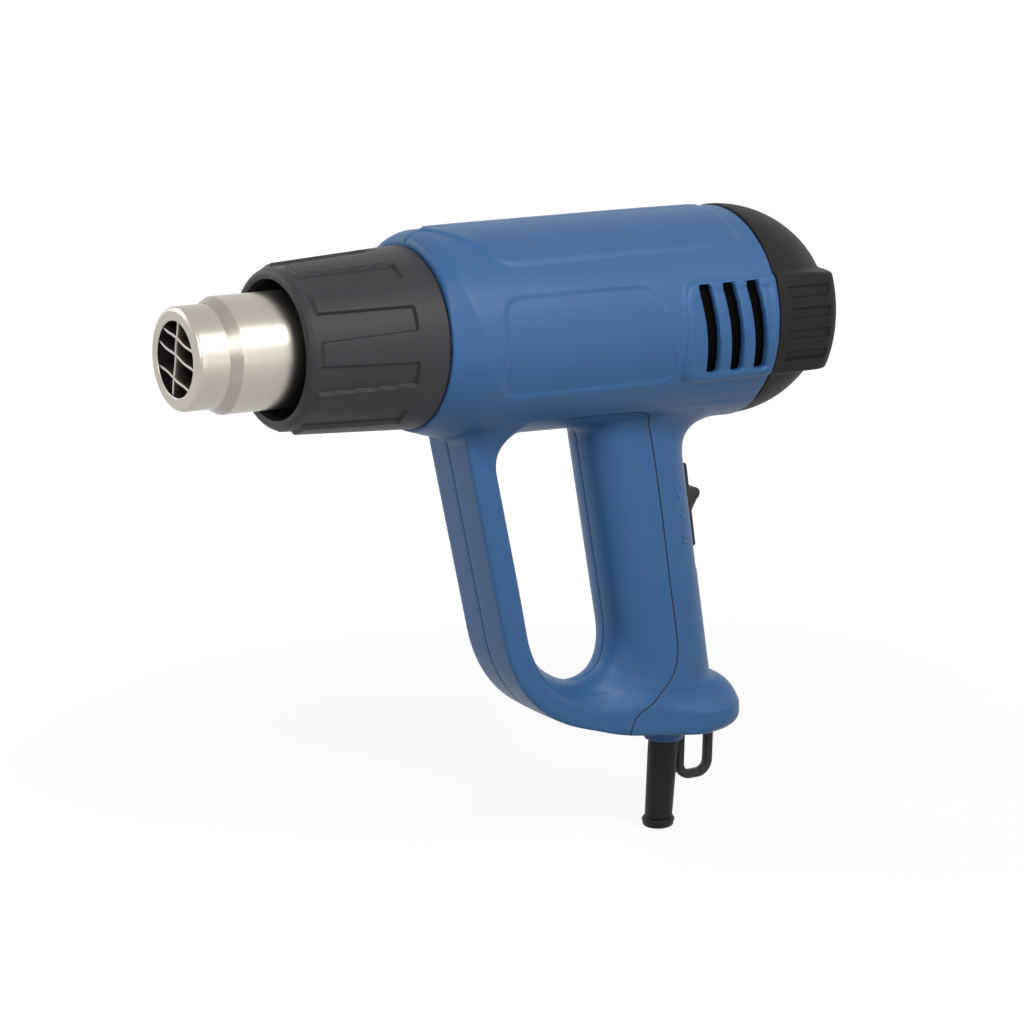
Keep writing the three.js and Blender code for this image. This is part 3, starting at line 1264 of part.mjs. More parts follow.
function buildBoard() {
  const face = BOARD_X + BOARD_THICKNESS;
  const board = disc(BOARD_X, face, BOARD_RADIUS);
  const diode = solid(new THREE.CylinderGeometry(DIODE_RADIUS, DIODE_RADIUS, DIODE_LENGTH, SMALL_FACETS)
    .translate(face + DIODE_RADIUS / 2, 0, 0));
  const diodes = Array.from({ length: DIODES }, (_, i) =>
    diode.translate([0, -BOARD_RADIUS / 3, (i - (DIODES - 1) / 2) * DIODE_PITCH]));
  piece(motorGroup, "rectifier_board", join([board, ...diodes]), greenBoard);
  const can = disc(face + FIT_GAP, face + FIT_GAP + CAPACITOR_LENGTH, CAPACITOR_RADIUS);
  piece(motorGroup, "capacitor", can.translate([0, BOARD_RADIUS / 2, 0]), bluePlastic);
}

function buildSwitch() {
  const floor = -SWITCH_RECESS_DEPTH + FIT_GAP;
  const top = floor + SLIDER_PLATE;
  const plate = box(floor + SLIDER_PLATE / 2, 0, 0, SLIDER_PLATE, SLIDER_WIDTH, SLIDER_LENGTH);
  const profile = new THREE.Shape();
  profile.moveTo(top - FIT_GAP, FIN_TOP);
  profile.lineTo(top + FIN_RISE - FIN_TIP, FIN_TOP - FIN_SLOPE);
  profile.lineTo(top + FIN_RISE, FIN_TOP - FIN_SLOPE - FIN_TIP);
  profile.lineTo(top + FIN_RISE, FIN_TOP - FIN_SLOPE - 2 * FIN_TIP);
  profile.quadraticCurveTo(top + FIN_RISE / 4, FIN_TOP - FIN_RISE, top - FIT_GAP, FIN_TOP - FIN_BASE);
  const fin = across(profile, -FIN_WIDTH / 2, FIN_WIDTH / 2);
  const stem = box(floor - STEM_REACH / 2 + FIT_GAP, 0, 0, STEM_REACH, STEM_WIDTH, STEM_LENGTH);
  piece(switchGroup, "switch_slider", placed(join([plate, fin, stem]), switchPlace), blackPlastic);
  const back = -SHELL_WALL - SWITCH_RECESS_DEPTH;
  const body = box(
    back - SWITCH_BODY_DEPTH / 2, 0, 0, SWITCH_BODY_DEPTH, SWITCH_BODY_WIDTH, SWITCH_BODY_LENGTH);
  const slotLength = STEM_LENGTH + 2 * (SWITCH_TRAVEL + FIT_GAP);
  const slot = box(back, 0, 0, 2 * STEM_REACH, STEM_WIDTH + 2 * FIT_GAP, slotLength);
  piece(switchGroup, "switch_body", placed(body.subtract(slot), switchPlace), palePlastic);
}

function buildSleeve() {
  const end = SLEEVE_LENGTH + BOSS_HEIGHT;
  const flangeTop = -SHELL_WALL - FIT_GAP - SLEEVE_FLANGE;
  const lip = end - SLEEVE_LIP;
  const sleeve = sleeveTurn([
    [flangeTop, SLEEVE_BORE_RADIUS],
    [flangeTop, SLEEVE_FLANGE_RADIUS],
    [flangeTop + SLEEVE_FLANGE, SLEEVE_FLANGE_RADIUS],
    [flangeTop + SLEEVE_FLANGE, SLEEVE_TOP_RADIUS],
    [BOSS_HEIGHT, SLEEVE_TOP_RADIUS],
    [lip - SLEEVE_LIP / 2, SLEEVE_END_RADIUS],
    [lip, SLEEVE_LIP_RADIUS],
    [end - SLEEVE_LIP / 4, SLEEVE_LIP_RADIUS],
    [end, SLEEVE_END_RADIUS],
    [end, SLEEVE_BORE_RADIUS],
    [flangeTop, SLEEVE_BORE_RADIUS],
  ]);
  piece(baseGroup, "cord_sleeve", sleeve, blackRubber);
}

function loopPath() {
  const high = loopSeat + FIT_GAP + LOOP_FOOT / 2;
  const low = -SOLE_DROP - LOOP_DROP + LOOP_BAR / 2;
  const [front, rear] = loopLegs;
  const point = (x, z) => new THREE.Vector3(x, LOOP_SIDE, z);
  const path = new THREE.CurvePath();
  path.add(new THREE.LineCurve3(point(front, high), point(front, low + LOOP_BEND)));
  path.add(new THREE.QuadraticBezierCurve3(
    point(front, low + LOOP_BEND), point(front, low), point(front + LOOP_BEND, low)));
  path.add(new THREE.LineCurve3(point(front + LOOP_BEND, low), point(rear - LOOP_BEND, low)));
  path.add(new THREE.QuadraticBezierCurve3(
    point(rear - LOOP_BEND, low), point(rear, low), point(rear, low + LOOP_BEND)));
  path.add(new THREE.LineCurve3(point(rear, low + LOOP_BEND), point(rear, high)));
  return path;
}

function buildLoop() {
  const half = LOOP_BAR / 2;
  const flat = half - LOOP_BEVEL;
  const section = polygon([
    [half, flat], [flat, half], [-flat, half], [-half, flat],
    [-half, -flat], [-flat, -half], [flat, -half], [half, -flat],
  ]);
  const options = { steps: LOOP_STEPS, bevelEnabled: false, extrudePath: loopPath() };
  const bar = solid(new THREE.ExtrudeGeometry(section, options));
  const foot = box(
    LOOP_X, LOOP_SIDE, loopSeat + FIT_GAP + LOOP_FOOT / 2, LOOP_SPAN + LOOP_BAR, LOOP_BAR, LOOP_FOOT);
  piece(baseGroup, "hanging_loop", bar.add(foot), blackPlastic);
}

function buildClamp() {
  const near = -PARTING_GAP / 2;
  const plate = box(
    clampX, near - CLAMP_DEPTH / 2, -CLAMP_DROP, CLAMP_LENGTH, CLAMP_DEPTH, CLAMP_HEIGHT);
  const saddle = sleeveBar(-BASE_HEIGHT, 0, SLEEVE_BORE_RADIUS + FIT_GAP);
  const holes = clampScrews.map((x) =>
    crossBar(x, CLAMP_DROP, CLAMP_SCREW_RADIUS + FIT_GAP, -2 * CLAMP_DEPTH, CLAMP_DEPTH));
  piece(baseGroup, "cord_clamp", cut(plate, [saddle, ...holes]), blackPlastic);
  clampScrews.forEach((x, i) => {
    const seat = near - CLAMP_DEPTH - FIT_GAP;
    const head = crossBar(x, CLAMP_DROP, 2 * CLAMP_SCREW_RADIUS, seat - SCREW_HEAD, seat);
    const end = CLAMP_SCREW_LENGTH - CLAMP_DEPTH;
    const shank = crossBar(x, CLAMP_DROP, CLAMP_SCREW_RADIUS, seat - SCREW_HEAD, end);
    const slot = box(x, seat - SCREW_HEAD, -CLAMP_DROP, 3 * SCREW_HEAD, SCREW_HEAD, SCREW_HEAD / 2);
    piece(baseGroup, `clamp_screw_${i + 1}`, head.add(shank).subtract(slot), darkSteel);
  });
}

// Leads, each along a smooth line between the pieces that it joins.
function buildLeads() {
  const half = SWITCH_BODY_LENGTH / 2 + FIT_GAP;
  const deep = -SHELL_WALL - SWITCH_RECESS_DEPTH - SWITCH_BODY_DEPTH / 2;
  const onSwitch = (z) => new THREE.Vector3(deep, 0, z).applyMatrix4(switchPlace);
  const clampTop = -CLAMP_DROP + CLAMP_HEIGHT / 2 + FIT_GAP;
  const supply = [
    onSwitch(-half),
    onSwitch(-2 * half),
    new THREE.Vector3(clampX, 0, clampTop + half),
    new THREE.Vector3(clampX, 0, clampTop - CLAMP_HEIGHT / 2),
  ];
  piece(baseGroup, "lead_supply", wire(supply, LEAD_RADIUS, LEAD_STEPS), leadSleeve);
  const boardBack = BOARD_X + BOARD_THICKNESS + FIT_GAP;
  const low = -BOARD_RADIUS + 3 * LEAD_RADIUS;
  const motor = [
    onSwitch(half),
    onSwitch(2 * half),
    new THREE.Vector3(onSwitch(2 * half).x, 0, -MOTOR_RADIUS - 5 * LEAD_RADIUS),
    new THREE.Vector3(boardBack + 4 * LEAD_RADIUS, 0, -BOARD_RADIUS - 4 * LEAD_RADIUS),
    new THREE.Vector3(boardBack + 4 * LEAD_RADIUS, 0, low),
    new THREE.Vector3(boardBack + FIT_GAP, 0, low),
  ];
  piece(motorGroup, "lead_motor", wire(motor, LEAD_RADIUS, LEAD_STEPS), leadSleeve);
}

buildHousing();
buildHousingScrews();
buildGuard();
buildCap();
buildNozzle();
buildGrid();
buildHeater();
buildCoil();
buildFlangeScrews();
buildDuct();
buildFan();
buildBracket();
buildMotorCase();
buildMagnets();
buildArmature();
buildBrushes();
buildBoard();
buildSwitch();
buildSleeve();
buildLoop();
buildClamp();
buildLeads();

export default tool;
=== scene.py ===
# %% [markdown]
# # A hot air gun in a studio
# The solids of this hot air gun come from a CAD model. They have the right sizes but plain faces, so this
# script puts a finely shaped skin over every piece that shows, and gives each piece a finish made of nodes.

# %% Load the frame
import math

import bpy
import numpy as np
from mathutils import Matrix, Vector


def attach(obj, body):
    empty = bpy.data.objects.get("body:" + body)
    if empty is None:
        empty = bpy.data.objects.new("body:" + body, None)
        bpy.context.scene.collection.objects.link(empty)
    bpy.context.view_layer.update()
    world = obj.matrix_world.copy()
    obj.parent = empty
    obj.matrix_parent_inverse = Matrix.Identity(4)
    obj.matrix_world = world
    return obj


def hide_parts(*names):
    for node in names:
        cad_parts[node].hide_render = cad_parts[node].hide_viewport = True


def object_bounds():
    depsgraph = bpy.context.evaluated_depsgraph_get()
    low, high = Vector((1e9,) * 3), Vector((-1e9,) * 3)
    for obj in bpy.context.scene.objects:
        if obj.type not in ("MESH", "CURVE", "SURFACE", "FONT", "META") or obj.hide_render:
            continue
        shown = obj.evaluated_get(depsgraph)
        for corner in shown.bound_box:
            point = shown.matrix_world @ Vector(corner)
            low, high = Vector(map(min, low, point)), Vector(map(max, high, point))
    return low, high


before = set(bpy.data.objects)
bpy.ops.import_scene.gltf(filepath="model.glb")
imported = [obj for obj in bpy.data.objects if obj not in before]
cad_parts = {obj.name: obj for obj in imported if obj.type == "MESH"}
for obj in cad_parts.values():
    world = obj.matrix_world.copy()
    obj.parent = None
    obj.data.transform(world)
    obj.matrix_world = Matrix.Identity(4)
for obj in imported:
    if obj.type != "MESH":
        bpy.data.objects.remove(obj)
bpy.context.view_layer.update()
print("solids loaded:", len(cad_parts))

# %% [markdown]
# ## The camera
# The gun is seen from its left and a little from above, through a long lens. A camera's matrix is its right, up and
# back directions as columns, with its place beside them. Shapes are worked out in millimetres from the nozzle's
# mouth: x runs back along the barrel and z up. `place` turns them into metres from the frame's origin in the grip.

# %% Camera and measures
GRIP_CENTRE = np.array([181.5, 0.0, -82.0])


def place(points):
    """Millimetres from the nozzle's mouth, less the grip's middle, over a thousand: metres in the frame."""
    return (np.asarray(points, dtype=float) - GRIP_CENTRE) / 1000


CAMERA_PLACE = (-524.38, -1002.30, 227.39)
CAMERA_RIGHT = (0.84017, -0.54187, 0.02218)
CAMERA_UP = (0.11046, 0.21101, 0.97122)
CAMERA_BACK = (-0.53096, -0.81354, 0.23714)
FOCAL_LENGTH = 126.56

lens = bpy.data.cameras.new("studio_camera")
lens.lens = FOCAL_LENGTH
camera = bpy.data.objects.new("studio_camera", lens)
bpy.context.scene.collection.objects.link(camera)
columns = [CAMERA_RIGHT, CAMERA_UP, CAMERA_BACK]
camera.matrix_world = Matrix.Translation(Vector(place(CAMERA_PLACE))) @ Matrix(columns).transposed().to_4x4()
bpy.context.scene.camera = camera
print("camera at", [round(value, 3) for value in camera.location])

# %% [markdown]
# ## Reckoning with sockets
# A finish is easier to read as sums than as a web of nodes. `Shade` holds one socket of a material. Adding or
# multiplying two of them adds the Math node that does it, and `add` makes any other node.


# %% Shader sums
class Shade:
    """One socket of a material, which Python's operators can reckon with."""

    def __init__(self, tree, socket=None):
        self.tree = tree
        self.socket = socket

    def add(self, kind, settings=None, inputs=None, output=0):
        """Adds a node: its settings first, then a number, a colour or a link into each named socket."""
        node = self.tree.nodes.new(kind)
        for name, value in (settings or {}).items():
            setattr(node, name, value)
        for name, value in (inputs or {}).items():
            if isinstance(value, Shade):
                self.tree.links.new(value.socket, node.inputs[name])
            else:
                node.inputs[name].default_value = value
        return Shade(self.tree, node.outputs[output])

    def math(self, operation, first, second):
        """Adds a Math node that does one operation on two numbers or sockets."""
        return self.add("ShaderNodeMath", {"operation": operation}, {0: first, 1: second})

    def __add__(self, other):
        return self.math("ADD", self, other)

    def __sub__(self, other):
        return self.math("SUBTRACT", self, other)

    def __rsub__(self, other):
        return self.math("SUBTRACT", other, self)

    def __mul__(self, other):
        return self.math("MULTIPLY", self, other)

    __radd__ = __add__
    __rmul__ = __mul__


# %% [markdown]
# ## How a finish starts
# A finish is a Principled shader with noise in its colour, gloss and bump, because no real surface is even. These
# helpers start one and link nodes into it. Colours are given as a screen shows them.

# %% A finish and its grain
MIX_FIRST, MIX_SECOND, MIX_RESULT = 6, 7, 2  # the sockets that a Mix node uses for colours


def colour(red, green, blue):
    """A colour as seen on a screen, 0 to 255, in the linear values that a shader takes, by the sRGB curve."""
    seen = np.array([red, green, blue]) / 255
    linear = np.where(seen < 0.04045, seen / 12.92, ((seen + 0.055) / 1.055) ** 2.4)
    return (*linear.tolist(), 1.0)


def start_finish(name, roughness, metallic=0.0, specular=0.35):
    """A new material with plain numbers on its shader, and a Shade to build its nodes with."""
    material = bpy.data.materials.new(name)
    material.use_nodes = True
    shader = material.node_tree.nodes["Principled BSDF"]
    shader.inputs["Roughness"].default_value = roughness
    shader.inputs["Metallic"].default_value = metallic
    shader.inputs["Specular IOR Level"].default_value = specular
    return material, shader, Shade(material.node_tree)


def noise(shade, vector, scale, detail=2.0):
    """A noise with so many bumps to a metre, and so many finer layers on it."""
    return shade.add("ShaderNodeTexNoise", None, {"Vector": vector, "Scale": scale, "Detail": detail})


def feed(shade, source, shader, socket):
    """Links a Shade into a named socket of a shader."""
    shade.tree.links.new(source.socket, shader.inputs[socket])


def mixed(shade, factor, first, second):
    """The first colour times one less the factor, plus the second times the factor."""
    inputs = {"Factor": factor, MIX_FIRST: first, MIX_SECOND: second}
    return shade.add("ShaderNodeMix", {"data_type": "RGBA"}, inputs, output=MIX_RESULT)


def faded(shade, gap, near, far, most):
    """The most where the gap, either way, is under near, nothing where it is over far, and a smooth fall between."""
    inputs = {"Value": gap.math("ABSOLUTE", gap, 0.0), "From Min": near, "From Max": far, "To Min": most, "To Max": 0.0}
    return shade.add("ShaderNodeMapRange", {"interpolation_type": "SMOOTHSTEP"}, inputs)


def emboss(shade, height, shader, depth_mm, strength):
    """A bump of a depth in millimetres, by a height from 0 to 1, on the shader's normal."""
    inputs = {"Strength": strength, "Distance": depth_mm / 1000, "Height": height}
    feed(shade, shade.add("ShaderNodeBump", None, inputs), shader, "Normal")


# %% [markdown]
# ## Moulded plastics and rubber
# The shell is satin plastic from a spark-eroded mould, with a grain about half a millimetre across. A fine noise
# drives the bump, and a broad one shifts colour and gloss. Other numbers give the black mouldings and the rubber.
# The shell has a groove narrower than its mesh: each point knows its distance from it, and the finish draws it.

# %% Plastic finishes
GLOSS_SPREAD, GRAIN_STRENGTH = 0.08, 0.55
GROOVE_CORE, GROOVE_EDGE, GROOVE_DEPTH = 0.12, 0.34, 3.0  # millimetres either side of the line, and grains deep


def plastic(name, low, high, roughness, grain_mm, grain_depth_mm, specular=0.35, groove=None):
    """Colour between two tones and gloss by a broad noise, bump by a fine noise of the grain's size.

    A groove of another colour is drawn where the points' attribute line_gap is under a third of a millimetre.
    """
    material, shader, shade = start_finish(name, roughness, specular=specular)
    spot = shade.add("ShaderNodeTexCoord", output="Object")
    broad = noise(shade, spot, 45.0, 3.0)
    fine = noise(shade, spot, 1000 / grain_mm)
    tone, height = mixed(shade, broad * 0.75 + fine * 0.25, colour(*low), colour(*high)), fine
    if groove:
        gap = shade.add("ShaderNodeAttribute", {"attribute_name": "line_gap"}, output="Fac")
        line = faded(shade, gap, GROOVE_CORE, GROOVE_EDGE, 1.0)
        tone, height = mixed(shade, line, tone, colour(*groove)), fine - line * GROOVE_DEPTH
    feed(shade, tone, shader, "Base Color")
    feed(shade, broad * GLOSS_SPREAD + fine * GLOSS_SPREAD + (roughness - GLOSS_SPREAD), shader, "Roughness")
    emboss(shade, height, shader, grain_depth_mm, GRAIN_STRENGTH)
    return material


PLASTICS = {  # two tones, roughness, the grain's width and depth in millimetres, specular level, groove's colour
    "blue_shell": ((54, 101, 152), (66, 113, 166), 0.42, 0.55, 0.1, 0.32, (14, 30, 56)),
    "black_moulding": ((46, 46, 50), (64, 64, 68), 0.47, 0.6, 0.12, 0.25),
    # painted shade: the cap takes a darker copy of the black moulding
    "cap_black_painted_shade": ((30, 30, 32), (42, 42, 44), 0.55, 0.6, 0.06, 0.15),
    "sleeve_rubber": ((20, 20, 22), (27, 27, 29), 0.5, 0.8, 0.02, 0.2),
    "pale_moulding": ((196, 190, 178), (212, 207, 196), 0.55, 0.7, 0.04),
    "lead_sleeve": ((126, 36, 34), (146, 46, 42), 0.5, 0.9, 0.02),
    "mica_sheet": ((84, 66, 48), (126, 102, 76), 0.6, 1.6, 0.05),
    "ferrite_block": ((52, 52, 55), (68, 68, 70), 0.7, 0.4, 0.04),
    "board_lacquer": ((34, 84, 54), (46, 98, 64), 0.4, 1.2, 0.02),
    # painted shade: near-black for the sheets behind the vents
    "painted_shade_black": ((8, 8, 9), (14, 14, 15), 0.9, 0.8, 0.05, 0.05),
    # painted highlight: the marks' blue is a little lighter than the shell's
    "mark_blue": ((62, 110, 160), (74, 122, 172), 0.32, 0.5, 0.02),
}
finishes = {name: plastic(name, *values) for name, values in PLASTICS.items()}
print("plastic finishes:", len(finishes))

# %% [markdown]
# ## Metals
# The nozzle is spun from stainless steel and brushed while it turns. A noise that is squeezed along the barrel and
# nearly still round it draws such rings. Heat has warmed the colour, and the step is painted darker as painted shade.

# %% Metal finishes
# painted shade: the tone and share of the darkening painted into the nozzle's step
STEP_SHADE_TONE, STEP_SHADE_SHARE = (112, 106, 96), 0.38
LINE_DEPTH_MM, LINE_STRENGTH = 0.03, 0.12


def metal(name, low, high, roughness, stretch, spread=0.1, shaded_step=None):
    """Colour and gloss by a noise whose coordinates are stretched along each axis, to draw brush lines.

    Where the last argument gives two places along x, the tone between them is darker: painted shade in the step.
    """
    material, shader, shade = start_finish(name, roughness, metallic=1.0)
    spot = shade.add("ShaderNodeTexCoord", output="Object")
    lined = shade.add("ShaderNodeMapping", None, {"Vector": spot, "Scale": stretch})
    lines = noise(shade, lined, 1.0, 4.0)
    broad = noise(shade, spot, 60.0)
    tone = mixed(shade, lines * 0.6 + broad * 0.4, colour(*low), colour(*high))
    # painted shade: the nozzle's step is darkened in colour
    if shaded_step:
        middle, half = (shaded_step[0] + shaded_step[1]) / 2, (shaded_step[1] - shaded_step[0]) / 2
        along = shade.add("ShaderNodeSeparateXYZ", None, {0: spot})
        painted_step_shade = faded(shade, along - middle, half * 0.6, half, STEP_SHADE_SHARE)
        tone = mixed(shade, painted_step_shade, tone, colour(*STEP_SHADE_TONE))
    feed(shade, tone, shader, "Base Color")
    feed(shade, lines * spread * 2 + (roughness - spread), shader, "Roughness")
    emboss(shade, lines, shader, LINE_DEPTH_MM, LINE_STRENGTH)
    return material


STEP_PLACE = (place([10.4, 0, 0])[0], place([15.2, 0, 0])[0])
METALS = {  # two tones, roughness, stretch along each axis, spread of the gloss, places of the painted shade in the step
    "nozzle_steel": ((168, 162, 152), (192, 186, 176), 0.3, (2400.0, 5.0, 5.0), 0.05, STEP_PLACE),
    "dark_steel": ((112, 114, 118), (142, 144, 148), 0.42, (900.0, 900.0, 900.0)),
    "copper_bare": ((176, 104, 62), (204, 132, 84), 0.35, (700.0, 200.0, 200.0)),
}
finishes.update({name: metal(name, *values) for name, values in METALS.items()})
print("finishes:", len(finishes))

# %% [markdown]
# ## From arrays to meshes
# Each piece is worked out as whole arrays of points. `weave` lays quads over a grid of points and `make_piece` puts
# them in a mesh. The signed volume tells whether the faces point outwards, and turns them if they don't.

# %% Mesh helpers
SHARP_DEGREES = 35.0  # edges that turn by more than this are drawn sharp


def weave(rows, columns, closed=True):
    """Quads between neighbours of a grid of rows by columns. Each row goes round, and each column too if closed."""
    index = np.arange(rows * columns).reshape(rows, columns)
    index = np.hstack([index, index[:, :1]])
    if closed:
        index = np.vstack([index, index[:1]])
    corners = [index[:-1, :-1], index[1:, :-1], index[1:, 1:], index[:-1, 1:]]
    return np.stack(corners, axis=-1).reshape(-1, 4)


def volume_of(points, quads):
    """A sixth of the sum of triple products over the two triangles of each quad."""
    a, b, c, d = (points[quads[:, k]] for k in range(4))
    return np.sum(np.cross(a, b) * c + np.cross(a, c) * d) / 6


def make_piece(name, points, quads, slot, finish=None, body="housing", stands_for=(), ends=(), line_gap=None):
    """A piece from points in millimetres and quads, closed over the loops in ends, finished as its slot or as said."""
    placed = place(points)
    turn = -1 if volume_of(placed - placed.mean(axis=0), quads) < 0 else 1
    faces = quads[:, ::turn].tolist() + [end[::turn].tolist() for end in ends]
    mesh = bpy.data.meshes.new(name)
    mesh.from_pydata(placed.tolist(), [], faces, shade_flat=False)
    mesh.validate()
    mesh.set_sharp_from_angle(angle=math.radians(SHARP_DEGREES))
    if line_gap is not None:
        mesh.attributes.new("line_gap", "FLOAT", "POINT").data.foreach_set("value", line_gap.astype(np.float32))
    mesh.materials.append(finishes[finish or slot])
    piece = bpy.data.objects.new(name, mesh)
    bpy.context.scene.collection.objects.link(piece)
    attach(piece, body)
    if stands_for:
        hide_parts(*stands_for)
    print(name, len(placed), "points", len(quads), "quads")


def turned(profile, sides, start=(0, 0, 0), way=(1, 0, 0), first=(0, 1, 0), second=(0, 0, 1)):
    """A closed (along, radius) profile about an axis: start + along * way + radius * (cos * first + sin * second)."""
    angle = (np.arange(sides) * 2 * np.pi / sides)[:, None]
    ring = np.cos(angle) * first + np.sin(angle) * second
    points = start + profile[:, None, :1] * way + profile[:, None, 1:] * ring
    return points.reshape(-1, 3), weave(len(profile), sides)


def refine(corners, spacing):
    """A polyline with points added so that none are further apart than the spacing."""
    corners = np.asarray(corners, dtype=float)
    steps = [max(1, math.ceil(np.linalg.norm(b - a) / spacing)) for a, b in zip(corners[:-1], corners[1:])]
    runs = [a + (b - a) * np.linspace(0, 1, n, endpoint=False)[:, None]
            for a, b, n in zip(corners[:-1], corners[1:], steps)]
    return np.vstack([*runs, corners[-1:]])


# %% [markdown]
# ## The nozzle
# The outlet is a steel tube with a rolled mouth and a soft step to a wider part. One profile of length and radius,
# carried round the axis, gives all of it. The rim and the step are arcs, so the light runs over them without facets.


# %% Nozzle tube
def arc(x, radius, size, start, stop, count):
    """Points on a circle about (x, radius) between two angles in degrees, from the barrel's direction."""
    angle = np.radians(np.linspace(start, stop, count))
    return np.stack([x + size * np.cos(angle), radius + size * np.sin(angle)], axis=-1)


NOZZLE_TIP, NOZZLE_WIDE, MOUTH = 17.0, 19.2, 12.4
STEP_FROM, STEP_TO = 11.0, 15.2
RIM_ROUND, LIP_ROUND, STEP_ROUND = 1.9, 0.35, 0.5
NOZZLE_SIDES = 192
nozzle_profile = np.vstack([
    arc(LIP_ROUND, MOUTH + LIP_ROUND, LIP_ROUND, 270, 180, 5),
    arc(RIM_ROUND, NOZZLE_TIP - RIM_ROUND, RIM_ROUND, 180, 90, 12),
    refine([[2.6, NOZZLE_TIP], [STEP_FROM - 0.4, NOZZLE_TIP]], 1.5),
    arc(STEP_FROM, NOZZLE_TIP + STEP_ROUND, STEP_ROUND, 270, 296, 5),
    arc(STEP_TO, NOZZLE_WIDE - STEP_ROUND, STEP_ROUND, 116, 90, 5),
    refine([[STEP_TO + 0.5, NOZZLE_WIDE], [60.0, NOZZLE_WIDE], [95.3, NOZZLE_WIDE], [95.3, 32.0], [96.8, 32.0],
            [96.8, 18.2], [17.6, 18.2], [13.0, 16.05], [1.2, 16.05], [1.0, MOUTH + 0.3]], 4.0),
])
points, quads = turned(nozzle_profile, NOZZLE_SIDES)
make_piece("nozzle_skin", points, quads, "nozzle_steel", stands_for=["nozzle_tube"])

# %% [markdown]
# ## The grid in the mouth
# Thin steel strips cross the mouth, on edge: one leaning upright and three level ones, a little wavy, seated in a
# hoop that hides behind the rim. Each strip is a rounded section carried along its own path.


# %% Outlet grid
def carried(path, section, across, up, closed=False):
    """A section of (a, b) points carried along a path: each point is path + a * across + b * up."""
    across, up = np.broadcast_to(across, path.shape), np.broadcast_to(up, path.shape)
    points = path[:, None] + section[None, :, :1] * across[:, None] + section[None, :, 1:] * up[:, None]
    rows, columns = points.shape[:2]
    first = np.arange(columns)
    ends = [] if closed else [first[::-1], first + (rows - 1) * columns]
    return points.reshape(-1, 3), weave(rows, columns, closed), ends


def rounded_section(width, height, radius, count):
    """A rectangle about the middle with round corners, anticlockwise."""
    centres = [(1, 1, 0), (-1, 1, 90), (-1, -1, 180), (1, -1, 270)]
    return np.vstack([arc(sx * (width / 2 - radius), sy * (height / 2 - radius), radius, a, a + 90, count)
                      for sx, sy, a in centres])


def strip(middle, tilt):
    """A strip on edge through (0, middle) in the mouth's plane, tilted from level, with a small sine wave."""
    turn = math.radians(tilt)
    way, side = np.array([math.cos(turn), math.sin(turn)]), np.array([-math.sin(turn), math.cos(turn)])
    offset = middle * math.cos(turn)
    reach = math.sqrt(HOOP_MIDDLE ** 2 - offset ** 2)
    run = np.linspace(-reach, reach, 49)[:, None]
    wave = STRIP_WAVE * np.sin(run * 0.5 + middle)
    flat = run * way + (offset + wave) * side
    path = np.column_stack([np.full(len(flat), STRIP_PLACE), flat])
    return carried(path, rounded_section(STRIP_DEPTH, STRIP_THICK, 0.3, 3), (1, 0, 0), (0, *side))


STRIP_PLACE, STRIP_DEPTH, STRIP_THICK, STRIP_WAVE = 3.5, 5.6, 0.95, 0.22
STRIPS = ((8.9, 97.7), (6.6, 13.5), (0.8, 13.5), (-7.0, 14.5))
HOOP_MIDDLE, HOOP_SIDES = 15.3, 96
hoop_profile = np.vstack([refine([[1.3, 14.9], [1.3, 15.7], [7.3, 15.7], [7.3, 14.9]], 1.0),
                          refine([[7.0, 14.9], [1.6, 14.9]], 1.0)])
parts = [(*turned(hoop_profile, HOOP_SIDES), [])]
parts += [strip(middle, tilt) for middle, tilt in STRIPS]
counts = np.cumsum([0] + [len(p) for p, _, _ in parts])
grid_points = np.vstack([p for p, _, _ in parts])
grid_quads = np.vstack([q + n for (_, q, _), n in zip(parts, counts)])
grid_ends = [end + n for (_, _, ends), n in zip(parts, counts) for end in ends]
make_piece("outlet_grid_bars", grid_points, grid_quads, "nozzle_steel", stands_for=["outlet_grid"], ends=grid_ends)

# %% [markdown]
# ## The front guard
# The black guard keeps the hot nozzle off the hands. Ten sunk channels run along it, from a smooth front ring to a
# square end. Its radius depends on length and angle, so one grid of the two gives cone, ring and channels together.


# %% Guard
def ramp(low, high, value):
    """0 below low, 1 above high, and a smooth rise between."""
    share = np.clip((value - low) / (high - low), 0, 1)
    return share * share * (3 - 2 * share)


GUARD_FRONT, GUARD_REAR, GUARD_SIDES = 34.6, 84.9, 720
CHANNELS, CHANNEL_PHASE, CHANNEL_HALF = 10, 24.0, 4.6
CONE_START, CONE_RADIUS, CONE_SLOPE = 39, 26.9, 0.0535
LAND_HEIGHT, NOSE_LENGTH, NOSE_FALL = 1.3, 2.6, 2.4
EDGE_LENGTH, EDGE_FALL = 0.5, 0.4


def guard_radius(x, angle):
    """Floor cone, plus the lands' height where neither the front ring nor a channel is, less the end rounds."""
    floor = CONE_RADIUS + CONE_SLOPE * (x - CONE_START)
    pitch = 2 * np.pi / CHANNELS
    off = np.abs((angle - math.radians(CHANNEL_PHASE) + pitch / 2) % pitch - pitch / 2) * floor
    half_width = CHANNEL_HALF - 0.022 * (x - CONE_START)
    channel = (1 - ramp(half_width - 0.35, half_width + 0.35, off)) * (1 - ramp(73.2, 74.0, x))
    land = ramp(38.2, 39.6, x) * (1 - channel)
    nose = np.clip((GUARD_FRONT + NOSE_LENGTH - x) / NOSE_LENGTH, 0, 1)
    back = np.clip((x - GUARD_REAR + EDGE_LENGTH) / EDGE_LENGTH, 0, 1)
    front_round = NOSE_FALL * (1 - np.sqrt(1 - nose ** 2))
    rear_round = EDGE_FALL * (1 - np.sqrt(1 - back ** 2 * 0.999))
    return floor + LAND_HEIGHT * land - front_round - rear_round


